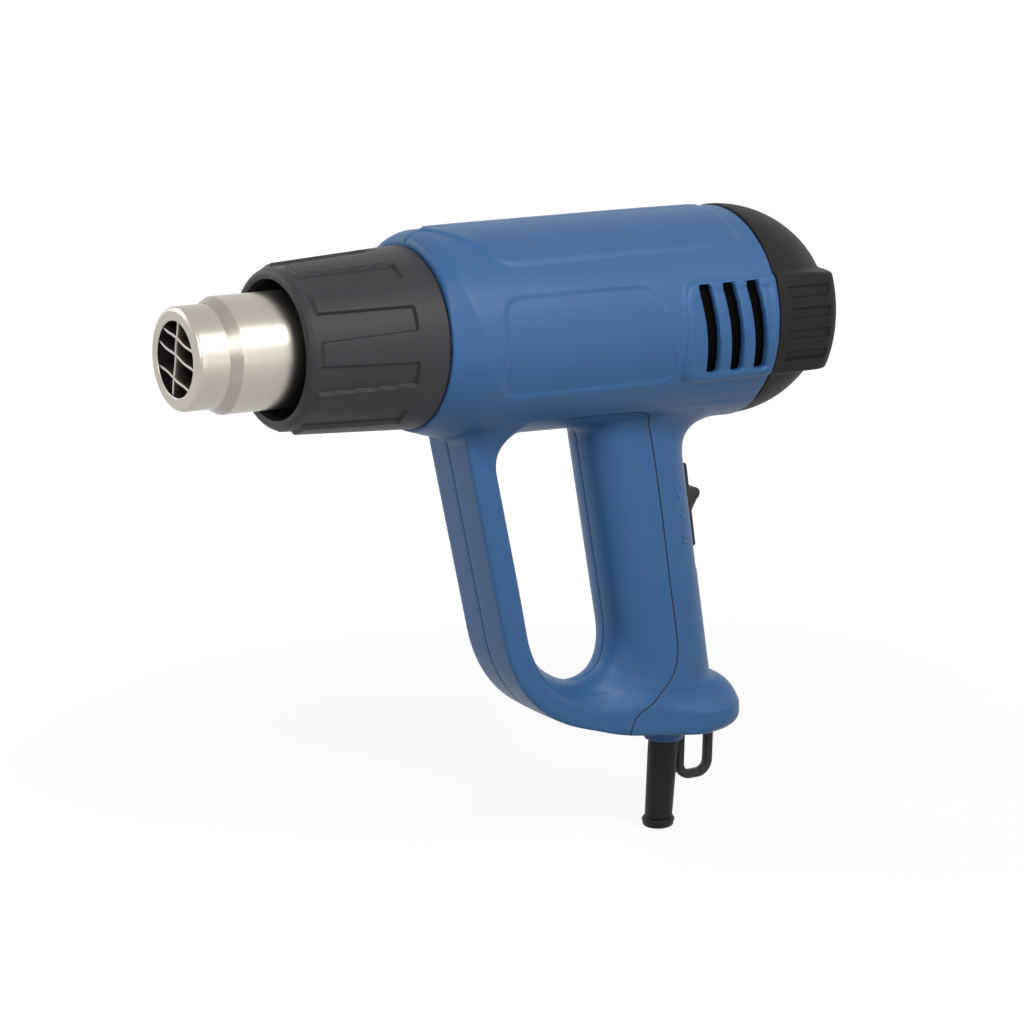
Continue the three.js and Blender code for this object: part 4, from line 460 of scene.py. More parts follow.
outer_x = np.concatenate([
    GUARD_FRONT + NOSE_LENGTH * (1 - np.cos(np.linspace(0, np.pi / 2, 10))),
    np.linspace(37.5, 40.2, 14), np.linspace(41.5, 72.6, 26), np.linspace(72.9, 74.3, 9),
    np.linspace(75.5, 83.9, 8), GUARD_REAR - EDGE_LENGTH * (1 - np.sin(np.linspace(0, np.pi / 2, 6))),
])
angle = np.arange(GUARD_SIDES) * 2 * np.pi / GUARD_SIDES
grid_x, grid_angle = np.meshgrid(outer_x, angle, indexing="ij")
radius = guard_radius(grid_x, grid_angle)
inner = np.array([[GUARD_REAR, 29.6], [91.2, 29.6], [92.2, 29.6], [92.2, 27.9],
                  [60.0, 26.0], [42.0, 24.8], [38.5, 23.2], [35.1, 23.2]])
grid_x = np.vstack([grid_x, np.repeat(inner[:, :1], GUARD_SIDES, axis=1)])
radius = np.vstack([radius, np.repeat(inner[:, 1:], GUARD_SIDES, axis=1)])
grid_angle = np.broadcast_to(angle, grid_x.shape)
guard_points = np.stack([grid_x, -radius * np.cos(grid_angle), radius * np.sin(grid_angle)], axis=-1).reshape(-1, 3)
make_piece("guard_skin", guard_points, weave(*grid_x.shape), "black_moulding", stands_for=["front_guard"])

# %% [markdown]
# ## Skins from a field
# The shell branches: a barrel runs into a leg, a bow, a grip and a base through soft fillets. No single grid covers
# that, so its skin comes from a field: a number at each point of space, negative inside. Two shapes join by the
# smaller of their fields, and a smooth smaller one gives a fillet. `skin_of` samples the field on a lattice, puts a
# point in each cell that the surface crosses, and slides it onto the surface.


# %% Fields
def smooth_min(a, b, reach):
    """The smaller of two fields, less a hump where they differ by under the reach: a fillet."""
    near = np.maximum(reach - np.abs(a - b), 0) / reach
    return np.minimum(a, b) - near * near * reach / 4


def smooth_max(a, b, reach):
    """The larger of two fields, with the same hump: a rounded edge."""
    return -smooth_min(-a, -b, reach)


def rounded_box(u, v, half_u, half_v, radius):
    """Signed distance to a rectangle with round corners."""
    over_u, over_v = np.abs(u) - half_u + radius, np.abs(v) - half_v + radius
    outside = np.hypot(np.maximum(over_u, 0), np.maximum(over_v, 0))
    return outside + np.minimum(np.maximum(over_u, over_v), 0) - radius


def nets(field, low, pitch):
    """One point for each mixed cell, at the mean of its edges' crossings, and a quad round each crossed edge."""
    inside = field < 0
    corners = [(i, j, k) for i in (0, 1) for j in (0, 1) for k in (0, 1)]
    size = [n - 1 for n in field.shape]
    windows = [tuple(slice(start, start + length) for start, length in zip(c, size)) for c in corners]
    total = sum(inside[window].astype(np.int8) for window in windows)
    cells = np.argwhere((total > 0) & (total < len(corners)))
    value = {c: field[tuple((cells + c).T)] for c in corners}
    summed, crossings = np.zeros(cells.shape), np.zeros(len(cells))
    step = np.eye(3, dtype=int)
    for corner, axis in [(c, axis) for c in corners for axis in range(3) if not c[axis]]:
        near, far = value[corner], value[tuple(corner + step[axis])]
        crossed = (near < 0) != (far < 0)
        share = np.where(crossed, near / np.where(crossed, near - far, 1), 0)
        summed += (corner + share[:, None] * step[axis]) * crossed[:, None]
        crossings += crossed
    points = low + pitch * (cells + summed / crossings[:, None])
    number = np.full(size, -1, dtype=np.int64)
    number[tuple(cells.T)] = np.arange(len(cells))
    quads = []
    for axis in range(3):
        first, second = [n for n in range(3) if n != axis]
        head = np.take(inside, range(1, inside.shape[axis]), axis)
        tail = np.take(inside, range(inside.shape[axis] - 1), axis)
        edges = np.argwhere(head != tail)
        edges = edges[(edges[:, first] > 0) & (edges[:, second] > 0)
                      & (edges[:, first] < size[first]) & (edges[:, second] < size[second])]
        around = [edges - step[first] - step[second], edges - step[second], edges, edges - step[first]]
        quad = np.stack([number[tuple(cell.T)] for cell in around], axis=-1)
        flip = tail[tuple(edges.T)] != (axis == 1)
        quads.append(np.where(flip[:, None], quad, quad[:, ::-1]))
    return points, np.vstack(quads)


def slide(points, field, times=2):
    """Moves each point along the field's slope by field over slope, so that it lies on the surface."""
    tiny, most, least_steep = 0.02, 0.4, 0.05
    for _ in range(times):
        here = field(*points.T)
        slope = np.stack([(field(*(points + tiny * np.eye(3)[n]).T) - here) / tiny for n in range(3)], axis=-1)
        steep = np.maximum(np.sum(slope ** 2, axis=1), least_steep)
        move = -(here / steep)[:, None] * slope
        length = np.linalg.norm(move, axis=1, keepdims=True)
        points = points + move * np.minimum(1, most / np.maximum(length, 1e-9))
    return points


def skin_of(field, low, high, pitch):
    """The points and quads of the surface where the field is nought, between two corners of a box."""
    axes = [np.arange(a, b + pitch, pitch) for a, b in zip(low, high)]
    x, y, z = np.meshgrid(*axes, indexing="ij", sparse=True)
    points, quads = nets(np.broadcast_to(field(x, y, z), [len(a) for a in axes]), np.array(low), pitch)
    return slide(points, field), quads


# %% [markdown]
# ## The barrel of the shell
# The barrel is nearly a cylinder, with a short cone before a leaning crease, a raised panel on top, a sunk panel on
# each side, and a raised pad round the vents. Each is a small rise or fall of the radius, smoothed over about a
# millimetre, as a moulded edge is.

# %% Barrel field
BARREL_FRONT, BARREL_REAR = 85.2, 212.8
MAIN_RADIUS, MAIN_START, MAIN_SLOPE = 35.3, 95.5, 1.6 / 117.3
FRONT_RADIUS, FRONT_RISE = 31.6, 3.7
TOP_TIP, TOP_HALF, TOP_REAR = 90.6, 24.9, 205.0
PANEL_FRONT, PANEL_REAR, PANEL_HALF = 103.3, 169.6, 17.2
PAD_FRONT, PAD_HALF = 174.6, 17.7
VENT_SLOTS = (183.2, 193.1, 202.9)
VENT_LEAN = 4.3 / 30.3
SLOT_WIDE, SLOT_LONG = 2.45, 15.2  # halves


def top_panel(x, side):
    """Distance outside the raised panel in plan: a pointed front, straight sides and a square back."""
    slant = ((x - TOP_TIP) * -23.6 + side * 16.4) / 28.74
    return smooth_max(smooth_max(slant, side - TOP_HALF, 5.0), x - TOP_REAR, 4.0)


def side_panel(x, z):
    """Distance outside the sunk panel in side view: a rounded rectangle with a slanting rear end."""
    ends = np.maximum(PANEL_FRONT - x, (x - PANEL_REAR + 0.29 * z) / 1.04)
    return smooth_max(ends, np.abs(z + 0.2) - PANEL_HALF, 7.0)


def vent_pad(x, z):
    """Distance outside the raised pad: it runs off the rear edge, and its front corners are round."""
    return smooth_max(PAD_FRONT - x, np.abs(z + 0.9) - PAD_HALF, 7.0)


def vent_slot(x, z):
    """Distance outside the nearest of three leaning slots."""
    lean = VENT_LEAN * (16.0 - z)
    return np.minimum.reduce([rounded_box(x - at - lean, z - 0.05, SLOT_WIDE, SLOT_LONG, 1.0) for at in VENT_SLOTS])


def droop(x):
    """How far the barrel's middle lies below the nozzle's axis: nothing at the front, 1 mm at the rear."""
    return np.clip((x - 110.0) / 103.0, 0, 1)


def barrel_radius(x, y, z):
    """The main cone, cut by the front cone at the crease, with each panel's rise or fall added."""
    side = np.abs(y)
    main = MAIN_RADIUS + (x - MAIN_START) * MAIN_SLOPE
    crease = 97.5 - 6.5 * ramp(-3.0, 23.0, z)
    share = np.clip((x - BARREL_FRONT) / (crease - BARREL_FRONT), 0.001, 2.0)
    front = FRONT_RADIUS + FRONT_RISE * share ** (1 - 0.6 * ramp(8.0, 30.0, z))
    rise = 0.75 * (1 - ramp(-1.0, 0.3, top_panel(x, side))) * (z > 0)
    sink = 0.6 * (1 - ramp(-1.4, 0.1, side_panel(x, z)))
    pad = 1.05 * (1 - ramp(-0.9, 0.4, vent_pad(x, z)))
    inner = 0.4 * (1 - ramp(-0.5, 0.3, np.maximum(vent_pad(x, z) + 3.2, np.abs(x - 194.3) - 16.2)))
    return smooth_min(main, front, 0.3) + rise - sink + pad - inner


def barrel_field(x, y, z):
    """Distance from the drooping middle line less the radius, closed by the two end planes."""
    round_part = np.hypot(y, z + droop(x)) - barrel_radius(x, y, z)
    return smooth_max(smooth_max(round_part, BARREL_FRONT - x, 0.6), x - BARREL_REAR, 0.6)


# %% [markdown]
# ## The handle of the shell
# The front leg and the bow are one flat strip, bent round a corner: a line in side view with a depth and a width.
# The grip and its base are squared ovals whose front, rear and width depend on the height. A thin step, like the
# edge of a second moulding, runs down the grip's flank.

# %% Leg and bow
LEG_TOP = np.array([102.4, -35.3])
CORNER = np.array([126.5, -134.7])
BOW_END = np.array([205.0, -158.2])
BEND_REACH = 28.0
LEG_DEPTH, BOW_DEEPER, BOW_FALL = 10.3, 3.6, 3.0
LEG_HALF, BOW_WIDER, BOW_RUN = 13.3, 4.0, 49.0


def handle_line():
    """Down the leg, round a parabola at the corner, and along the bow, as points (x, z), closest in the bend."""
    top = LEG_TOP + (LEG_TOP - CORNER) * 0.12
    down, along = CORNER - top, BOW_END - CORNER
    start = CORNER - down * BEND_REACH / np.linalg.norm(down)
    stop = CORNER + along * BEND_REACH / np.linalg.norm(along)
    share = np.linspace(0, 1, 46)[:, None]
    bend = (1 - share) ** 2 * start + 2 * share * (1 - share) * CORNER + share ** 2 * stop
    leg, bow = refine([top, start], 6.0), refine([stop, BOW_END], 6.0)
    return np.vstack([leg[:-1], bend, bow[1:]])


def beside(line, x, z):
    """For each (x, z): how far along the line its nearest point is, and its distance to the line's inner side."""
    x, z = np.broadcast_arrays(x, z)
    lengths = np.linalg.norm(np.diff(line, axis=0), axis=1)
    starts = np.concatenate([[0], np.cumsum(lengths)])
    nearest = np.full(x.shape, np.inf)
    along, depth = np.zeros(x.shape), np.zeros(x.shape)
    for (ax, az), (bx, bz), length, start in zip(line[:-1], line[1:], lengths, starts):
        way_x, way_z = (bx - ax) / length, (bz - az) / length
        run = np.clip((x - ax) * way_x + (z - az) * way_z, 0, length)
        off_x, off_z = x - ax - run * way_x, z - az - run * way_z
        gap = np.hypot(off_x, off_z)
        closer = gap < nearest
        nearest = np.where(closer, gap, nearest)
        along = np.where(closer, start + run, along)
        depth = np.where(closer, np.where(off_z * way_x - off_x * way_z >= 0, gap, -gap), depth)
    return along, depth


HANDLE_LINE = handle_line()
HANDLE_RUN = np.linalg.norm(np.diff(HANDLE_LINE, axis=0), axis=1).sum()
BEND_FROM, BEND_TO = HANDLE_RUN - 129.3, HANDLE_RUN - 56.3


def strip_field(x, y, z):
    """A section of depth by width about the handle's line, whose inner face falls towards the flanks of the bow."""
    along, depth = beside(HANDLE_LINE, x, z)
    bent = ramp(BEND_FROM, BEND_TO, along)
    thick = LEG_DEPTH + BOW_DEEPER * bent + 0.13 * np.maximum(along - BEND_TO, 0)
    fall = thick - LEG_DEPTH + BOW_FALL * bent
    half = LEG_HALF + BOW_WIDER * np.clip((along - BEND_TO) / BOW_RUN, 0, 1) ** 2
    out = np.abs(y) / half
    front = 0.3 * out ** 2 - depth
    inner = (depth - thick + fall * out ** 2) / (1 + 0.3 * bent)
    section = smooth_max(smooth_max(np.abs(y) - half, front, 1.4), inner, 3.4 - 1.6 * bent)
    return np.maximum(section, x - BOW_END[0])


# %% Grip and base
GRIP_TOP, GRIP_BOTTOM, BASE_HEIGHT = 46, 131.5, 20.5
GRIP_FRONT, FRONT_SLOPE, BASE_TUCK = 156.4, 0.203, 20
GRIP_REAR, REAR_SLOPE, BASE_OVERHANG = 195.7, 0.1845, 11.9
GRIP_HALF, BASE_WIDER, SQUARENESS = 15.2, 4.2, 2.5
SOLE_DROP, SOLE_MIDDLE, SOLE_SLOPE = 149.9, 196.87, 0.09
SLEEVE_TOP, SLEEVE_LEAN = np.array([196.65, -156.0]), math.tan(math.radians(2.1))


def base_bulge(share):
    """0 at the base's top, 1 where its rear is furthest out, a half underneath, by two arcs of a power curve."""
    share = np.clip(share, 0, 1)
    above = np.clip(1 - share / 0.54, 0, 1)
    below = np.clip((share - 0.66) / 0.38, 0, 1)
    return np.where(share < 0.6, (1 - above ** 1.9) ** (1 / 1.9), (1 - below ** 2.2) ** (1 / 2.2))


def base_flare(share):
    """A hollow skirt: a power of the share down to a soft crease half way, upright below it, round underneath."""
    below = np.clip((share - 0.75) / 0.35, 0, 1)
    return np.clip(share / 0.5, 0, 1) ** 2.6 - 0.3 * below ** 2


def below_sole(x, z):
    """Distance below the slanting underside."""
    return (-SOLE_DROP - SOLE_SLOPE * (x - SOLE_MIDDLE) - z) / 1.004


def grip_field(x, y, z):
    """A squared oval between the grip's front and rear lines, swollen below into the base."""
    drop = -z
    share = (drop - GRIP_BOTTOM) / BASE_HEIGHT
    held = np.minimum(drop, GRIP_BOTTOM) - GRIP_TOP
    front = GRIP_FRONT + FRONT_SLOPE * held + BASE_TUCK * np.clip(share, 0, 1) ** 2
    rear = GRIP_REAR + REAR_SLOPE * held + BASE_OVERHANG * base_bulge(share)
    half = GRIP_HALF + BASE_WIDER * base_flare(share)
    middle, reach = (front + rear) / 2, (rear - front) / 2
    oval = ((np.abs(x - middle) / reach) ** SQUARENESS + (np.abs(y) / half) ** SQUARENESS) ** (1 / SQUARENESS)
    return np.maximum((oval - 1) * 16.5, 20.0 - drop)


# %% [markdown]
# ## The whole shell
# The pieces of the field are joined, then cut: a bore for the guard at the front, the hollow of the barrel, the
# vent slots, the flat of the switch, and the hole of the sleeve. The step on the flank lifts the rear part by
# a quarter of a millimetre behind a narrow groove.


# %% Shell field
def cut_corners(line):
    """A softer line: the points at a quarter and at three quarters of each stretch between two points."""
    near, far = line[:-1], line[1:]
    return np.stack([0.75 * near + 0.25 * far, 0.25 * near + 0.75 * far], axis=1).reshape(-1, 2)


FLANK_STEP = cut_corners(np.array([
    (120.0, -28.4), (155.0, -28.6), (163.5, -28.8), (168.5, -29.6), (172.5, -31.6), (175.2, -35.4),
    (177.1, -42.0), (181.9, -66.9), (186.3, -92.6), (190.2, -112.9), (190.9, -118.3), (190.4, -124.8),
    (187.2, -131.0), (181.3, -136.7), (174.8, -140.1), (172.6, -144.9), (171.0, -156.0)]))
SWITCH_MIDDLE = np.array([200.6, -69.0])
SWITCH_OUT = np.array([0.98520, 0.17143])
RECESS_HALF, RECESS_SOFT, RECESS_DEPTH = 23.5, 20.7, 3.5
STEM_RISE, STEM_ROOM = 0.7, 9.0
BORE, BORE_REAR = 30.0, 95.0
# the last is room in the hollow for the near-black sheets of painted shade
HOLLOW, HOLLOW_FRONT, SHADE_SHEET_ROOM = 33.0, 97.0, 1.7
SLEEVE_HOLE, HOLE_TOP, BOSS = 5.5, 143.0, 8.6


def in_switch(x, z):
    """Places out from the grip's rear and up along it, from the switch's middle."""
    dx, dz = x - SWITCH_MIDDLE[0], z - SWITCH_MIDDLE[1]
    return dx * SWITCH_OUT[0] + dz * SWITCH_OUT[1], dz * SWITCH_OUT[0] - dx * SWITCH_OUT[1]


def sleeve_reach(x, y, z):
    """Distance from the sleeve's leaning axis."""
    return np.hypot(x - SLEEVE_TOP[0] - SLEEVE_LEAN * (z - SLEEVE_TOP[1]), y)


def shell_outside(x, y, z):
    """Barrel, strip and grip joined with fillets, the rear of the flank lifted, and the sleeve's boss added."""
    _, behind = beside(FLANK_STEP, x, z)
    flank = ramp(6.0, 9.0, np.abs(y)) * ramp(27.0, 29.0, -z)
    lifted = 0.25 * ramp(-0.4, 0.4, behind)
    grip = grip_field(x, y, z)
    reach = (20.5 - 4.5 * ramp(6.0, 14.0, np.abs(y))) * (1.0 - 0.75 * ramp(178.0, 197.0, x))
    handle = smooth_min(strip_field(x, y, z), grip, reach)
    band = LEG_HALF + 6.2 * np.clip((x - 151.0) / 52.0, 0, 1) ** 2 + 20.0 * ramp(203.0, 212.0, x)
    handle = smooth_max(handle, np.abs(y) - band, 0.8)
    reach = 4.0 + 10.0 * ramp(102.0, 112.0, x) - 9.0 * ramp(130.0, 150.0, x) + 8.0 * ramp(176.0, 196.0, x)
    body = smooth_min(barrel_field(x, y, z), handle, reach) - flank * lifted
    body = smooth_max(body, below_sole(x, z), 1.2 + 6.5 * ramp(195.0, 215.0, x))
    cone = BOSS - 0.3 * np.clip(-z - SOLE_DROP, -1, 5.5)
    boss = np.maximum(sleeve_reach(x, y, z) - cone, np.abs(z + 150.4) - 5.0)
    return smooth_min(body, boss, 1.6)


def switch_recess(x, y, z):
    """Distance outside the flat that the plate slides on, with soft ends, and outside the slot of its stem."""
    out, up = in_switch(x, z)
    floor = -RECESS_DEPTH + 0.6 * np.maximum(np.abs(up) - RECESS_SOFT, 0)
    flat = np.maximum(np.abs(up) - RECESS_HALF, floor - out)
    stem = np.maximum(rounded_box(y, up - STEM_RISE, 3.4, 9.2, 0.5), -STEM_ROOM - out)
    return np.minimum(flat, stem)


def shell_field(x, y, z):
    """The outside, less the guard's bore, the hollow of the barrel, the slots, the recess and the sleeve hole."""
    far = np.hypot(y, z)
    bore = np.maximum(far - BORE, x - BORE_REAR)
    wider = ramp(172.0, 176.0, x) * (1.0 - ramp(17.0, 23.0, np.abs(z)))
    hollow = np.maximum(far - HOLLOW - SHADE_SHEET_ROOM * wider, HOLLOW_FRONT - x)
    slots = np.maximum(vent_slot(x, z), 20.0 - np.abs(y))
    hole = np.maximum(sleeve_reach(x, y, z) - SLEEVE_HOLE, z + HOLE_TOP)
    cuts = np.minimum.reduce(np.broadcast_arrays(bore, hollow, hole))
    solid = smooth_max(smooth_max(shell_outside(x, y, z), -slots, 1.1), -cuts, 0.5)
    return smooth_max(solid, -switch_recess(x, y, z), 0.4)


# %% [markdown]
# ## Two halves
# A moulded shell comes in two halves that meet on the middle plane. One field gives both: the right half is made as
# a left one, drilled for the screws and the loop, and then mirrored.

# %% Two shell halves
SCREWS, WELL, WELL_DEPTH = ((169.6, 51.0), (183.0, 117.0), (149.3, 135.0), (212.5, 137.5)), 3.2, 9.0
LOOP_LEGS, LOOP_SIDE, LEG_HOLE = (205.5, 218.0), 2.2, 1.9
SEAM = 0.13


def left_half(x, y, z):
    """The whole shell, cut a little before the middle plane, so that a fine seam shows."""
    return smooth_max(shell_field(x, y, z), y + SEAM, 0.4)


def right_half(x, y, z):
    """The left half as in a mirror, less the screws' wells and the holes of the loop's legs."""
    wells = np.minimum.reduce([np.hypot(x - a, z + b) - WELL for a, b in SCREWS])
    legs = np.minimum.reduce([rounded_box(x - a, -y - LOOP_SIDE, LEG_HOLE, LEG_HOLE, 0.6) for a in LOOP_LEGS])
    cuts = np.minimum(np.maximum(wells, y + WELL_DEPTH), np.maximum(legs, z + 144.0))
    return smooth_max(left_half(x, y, z), -cuts, 0.4)


def groove_gap(points):
    """Signed distance from the flank's fine groove, and 5 mm wherever there is no groove."""
    _, behind = beside(FLANK_STEP, points[:, 0], points[:, 2])
    on_flank = (np.abs(points[:, 1]) > 7.0) & (points[:, 2] < -24.0)
    return np.where(on_flank, behind + 0.1, 5.0)


PITCH = 0.8
SHELL_LOW, SHELL_HIGH = (84.5, -39.6, -157.5), (227.0, 0.9, 39.0)
for side, half, mirror in (("left", left_half, 1), ("right", right_half, -1)):
    points, quads = skin_of(half, SHELL_LOW, SHELL_HIGH, PITCH)
    make_piece("shell_" + side, points * (1, mirror, 1), quads, "blue_shell", stands_for=["housing_" + side],
               line_gap=groove_gap(points))

# %% [markdown]
# ## Marks beside the switch
# The mould also raises plain marks on the flank: a nought, one dash and two dashes, for off and the two speeds.
# Each is a thin bar along a path that is first slid onto the shell, a little lighter than the shell as a painted
# highlight.

# %% Switch marks
MARK_RADIUS, MARK_SIDES = 0.48, 8


def unit(vectors):
    """Each vector over its length."""
    return vectors / np.linalg.norm(vectors, axis=1, keepdims=True)


def raised(path, closed):
    """A round bar about a path on the shell: each ring of points lies across the path's direction."""
    path = slide(path, shell_outside, 5)
    ahead = np.roll(path, -1, 0) - np.roll(path, 1, 0) if closed else np.gradient(path, axis=0)
    side = unit(np.cross(ahead, (0.4, -0.9, 0.1)))
    ring = arc(0, 0, MARK_RADIUS, 0, 360 - 360 / MARK_SIDES, MARK_SIDES)
    return carried(path, ring, side, unit(np.cross(side, ahead)), closed)


turn = np.linspace(0, 2 * np.pi, 32, endpoint=False)
nought = np.column_stack([190.1 + 1.2 * np.cos(turn), -14.0 + 0.4 * np.cos(turn), -60.95 + 2.1 * np.sin(turn)])
run = np.linspace(-1.2, 1.2, 9)
dashes = [np.column_stack([x + run, -14.0 + 0.4 * run, z - 0.1 * run])
          for x, z in ((192.1, -70.3), (192.9, -77.7), (193.2, -79.6))]
for number, (path, closed) in enumerate([(nought, True)] + [(dash, False) for dash in dashes]):
    points, quads, ends = raised(path, closed)
    # painted highlight: the marks take a lighter copy of the shell's blue
    make_piece("mark_%d" % number, points, quads, "blue_shell", "mark_blue", ends=ends)

# %% [markdown]
# ## A dark sheet behind the vents
# A thin near-black sheet lies inside the shell on each side, as painted shade that darkens what shows through the
# slots. It is a grid of angle and length on two radii, closed round its edge.

# %% Shade sheets behind the vents
SHADE_SHEET_OUT, SHADE_SHEET_IN, SHADE_SHEET_POINTS = 33.9, 33.4, 35


def shade_sheet(side):
    """Points at a radius and an angle, at the outer radius going and at the inner one coming back."""
    angle = np.radians(np.linspace(-36.0, 32.0, SHADE_SHEET_POINTS))
    angle = np.concatenate([angle, angle[::-1]])
    reach = np.repeat([SHADE_SHEET_OUT, SHADE_SHEET_IN], SHADE_SHEET_POINTS)
    section = np.stack([side * reach * np.cos(angle), reach * np.sin(angle)], axis=-1)
    path = np.linspace((178.0, 0, 0), (209.0, 0, 0), 9)
    return carried(path, section, (0, 1, 0), (0, 0, 1))


# painted shade: a near-black sheet behind each row of slots, where inside there would only be shade
for name, side in (("shade_sheet_left", -1), ("shade_sheet_right", 1)):
    points, quads, ends = shade_sheet(side)
    make_piece(name, points, quads, "black_moulding", "painted_shade_black", ends=ends)

# %% [markdown]
# ## The rear cap
# The black cap is a dome with a band across it at the height of the vents. Four shallow grooves on each side of the
# band give the fingers a hold. Dome and band are two fields, joined by the smaller one.

# %% Rear cap
CAP_FRONT, CAP_REAR, CAP_DROP = 213.1, 246.5, 0.9
CAP_FACE, DOME_RISE = 19.0, 17.9
BAND_CORNER, BAND_REACH, BAND_ROUND = 232.0, 27.0, 11.0
BAND_TOP, BAND_BOTTOM = 17.8, 17.7
ROW_MIDDLE, ROW_PITCH, ROW_FLOOR = 225.8, 7.45, 37.0
CAP_HOLLOW, CAP_WALL = 31.0, 222.0


def dome_radius(x):
    """The flat rear face's radius, plus the rest times a power of one less the square of the share of the length."""
    share = np.clip((x - CAP_FRONT) / (CAP_REAR - CAP_FRONT), 0, 1)
    return CAP_FACE + DOME_RISE * (1 - share ** 2) ** 0.8


def band_field(x, y, z):
    """A wider dome with straight sides, a round corner and a crowned rear, kept to a slab that thins rearwards."""
    far = np.hypot(y, z)
    crown = x - (CAP_REAR - 4.4 * (far / BAND_REACH) ** 2)
    corner = np.hypot(np.maximum(x - BAND_CORNER, 0), np.maximum(far - BAND_REACH, 0)) - BAND_ROUND
    top = z + CAP_DROP - BAND_TOP + 0.0023 * (x - CAP_FRONT) ** 2
    return smooth_max(smooth_max(crown, corner, 1.0), np.maximum(top, -z - CAP_DROP - BAND_BOTTOM), 1.0)


def cap_grooves(x, y, z):
    """Distance outside the nearest of four grooves on a flank."""
    rows = [rounded_box(x - ROW_MIDDLE, z + 0.75 - ROW_PITCH * n, 8.8, 1.8, 0.7) for n in (-1.5, -0.5, 0.5, 1.5)]
    return np.maximum(np.minimum.reduce(rows), ROW_FLOOR - np.hypot(y, z))


def cap_field(x, y, z):
    """Dome and band joined, closed at both ends, less the hollow and the grooves."""
    dome = np.hypot(y, z + CAP_DROP) - dome_radius(x)
    outside = smooth_min(dome, band_field(x, y, z), 0.8)
    closed = smooth_max(smooth_max(outside, CAP_FRONT - x, 0.5), x - CAP_REAR, 1.0)
    hollow = np.maximum(np.hypot(y, z) - CAP_HOLLOW, x - CAP_WALL)
    return smooth_max(closed, -np.minimum.reduce(np.broadcast_arrays(hollow, cap_grooves(x, y, z))), 0.25)


CAP_PITCH = 0.5
points, quads = skin_of(cap_field, (212.2, -39.6, -38.4), (247.6, 39.6, 38.4), CAP_PITCH)
# painted shade: the cap is finished darker than the other black mouldings
make_piece("rear_cap_skin", points, quads, "black_moulding", "cap_black_painted_shade", stands_for=["rear_cap"])

# %% [markdown]
# ## The slide switch
# A thumb pushes the fin of a black plate that slides in a recess on the back of the grip. The plate has round edges
# and a few fine ribs, and the fin is a small hooked wedge. A field again joins them with a fillet.

# %% Switch slider
PLATE_WIDE, PLATE_LONG, PLATE_THICK = 5.9, 15.5, 1.9  # halves
FIN_TOP, FIN_HALF, FIN_REACH = 5.9, 4.0, 6.1
RIB_HEIGHT, RIB_PITCH = 0.2, 1.6


def slider_field(x, y, z):
    """A rounded plate, a fin between a sloping top and a hollow underside, fine ribs, and a stem inwards."""
    out, up = in_switch(x, z)
    plate = smooth_max(rounded_box(y, up, PLATE_WIDE, PLATE_LONG, 1.0), np.abs(out + 1.2) - PLATE_THICK, 0.6)
    top = (up - FIN_TOP + 0.3 * np.maximum(out - 0.9, 0)) / 1.04
    under = (0.8 - up - 6.1 * (1 - np.clip((out - 0.9) / 5.1, 0, 1)) ** 1.4) / 1.5
    fin = smooth_max(smooth_max(top, under, 0.8), np.maximum(np.abs(y) - FIN_HALF, out - FIN_REACH), 1.4)
    fin = np.maximum(fin, -0.8 - out)
    ribs = RIB_HEIGHT * np.cos(up * 2 * np.pi / RIB_PITCH) * (np.abs(up + 9.5) < 4.0) * (np.abs(y) < 4.2)
    stem = np.maximum(rounded_box(y, up - STEM_RISE, 3.0, 4.0, 0.5), np.maximum(out, -7.8 - out))
    return np.minimum(smooth_min(plate - ribs, fin, 1.2), stem)


SLIDER_PITCH = 0.26
points, quads = skin_of(slider_field, (189.5, -6.6, -86.5), (209.5, 6.6, -50.5), SLIDER_PITCH)
make_piece("slider_skin", points, quads, "black_moulding", body="switch", stands_for=["switch_slider"])

# %% [markdown]
# ## The sleeve
# The rubber sleeve under the base is a slightly tapered tube with a rounded bead at its end. Like the nozzle it is a
# turned profile, but about an axis that leans forward a little.

# %% Cord sleeve
SLEEVE_SIDES = 96
sleeve_profile = np.vstack([
    refine([[-9.2, 3.4], [-11.6, 3.5], [-11.6, 6.4], [-9.2, 6.4], [-8.9, 5.4], [4.0, 5.4], [28.2, 4.95]], 1.5),
    arc(28.7, 5.2, 0.35, 250, 180, 4)[::-1],
    arc(29.7, 5.05, 0.85, 150, 60, 8),
    arc(31.1, 4.75, 0.85, 60, 0, 6),
    refine([[31.9, 3.6], [0.0, 3.4]], 3.0),
])
points, quads = turned(sleeve_profile, SLEEVE_SIDES, (SLEEVE_TOP[0], 0, SLEEVE_TOP[1]), (-SLEEVE_LEAN, 0, -1),
                       (1, 0, SLEEVE_LEAN), (0, 1, 0))
make_piece("cord_sleeve_skin", points, quads, "sleeve_rubber", stands_for=["cord_sleeve"])

# %% [markdown]
# ## The hanging loop
# Behind the sleeve is a small loop, to hang the tool up by: a square bar with round edges, whose section is carried
# down one leg, round two quarter circles and up the other leg.

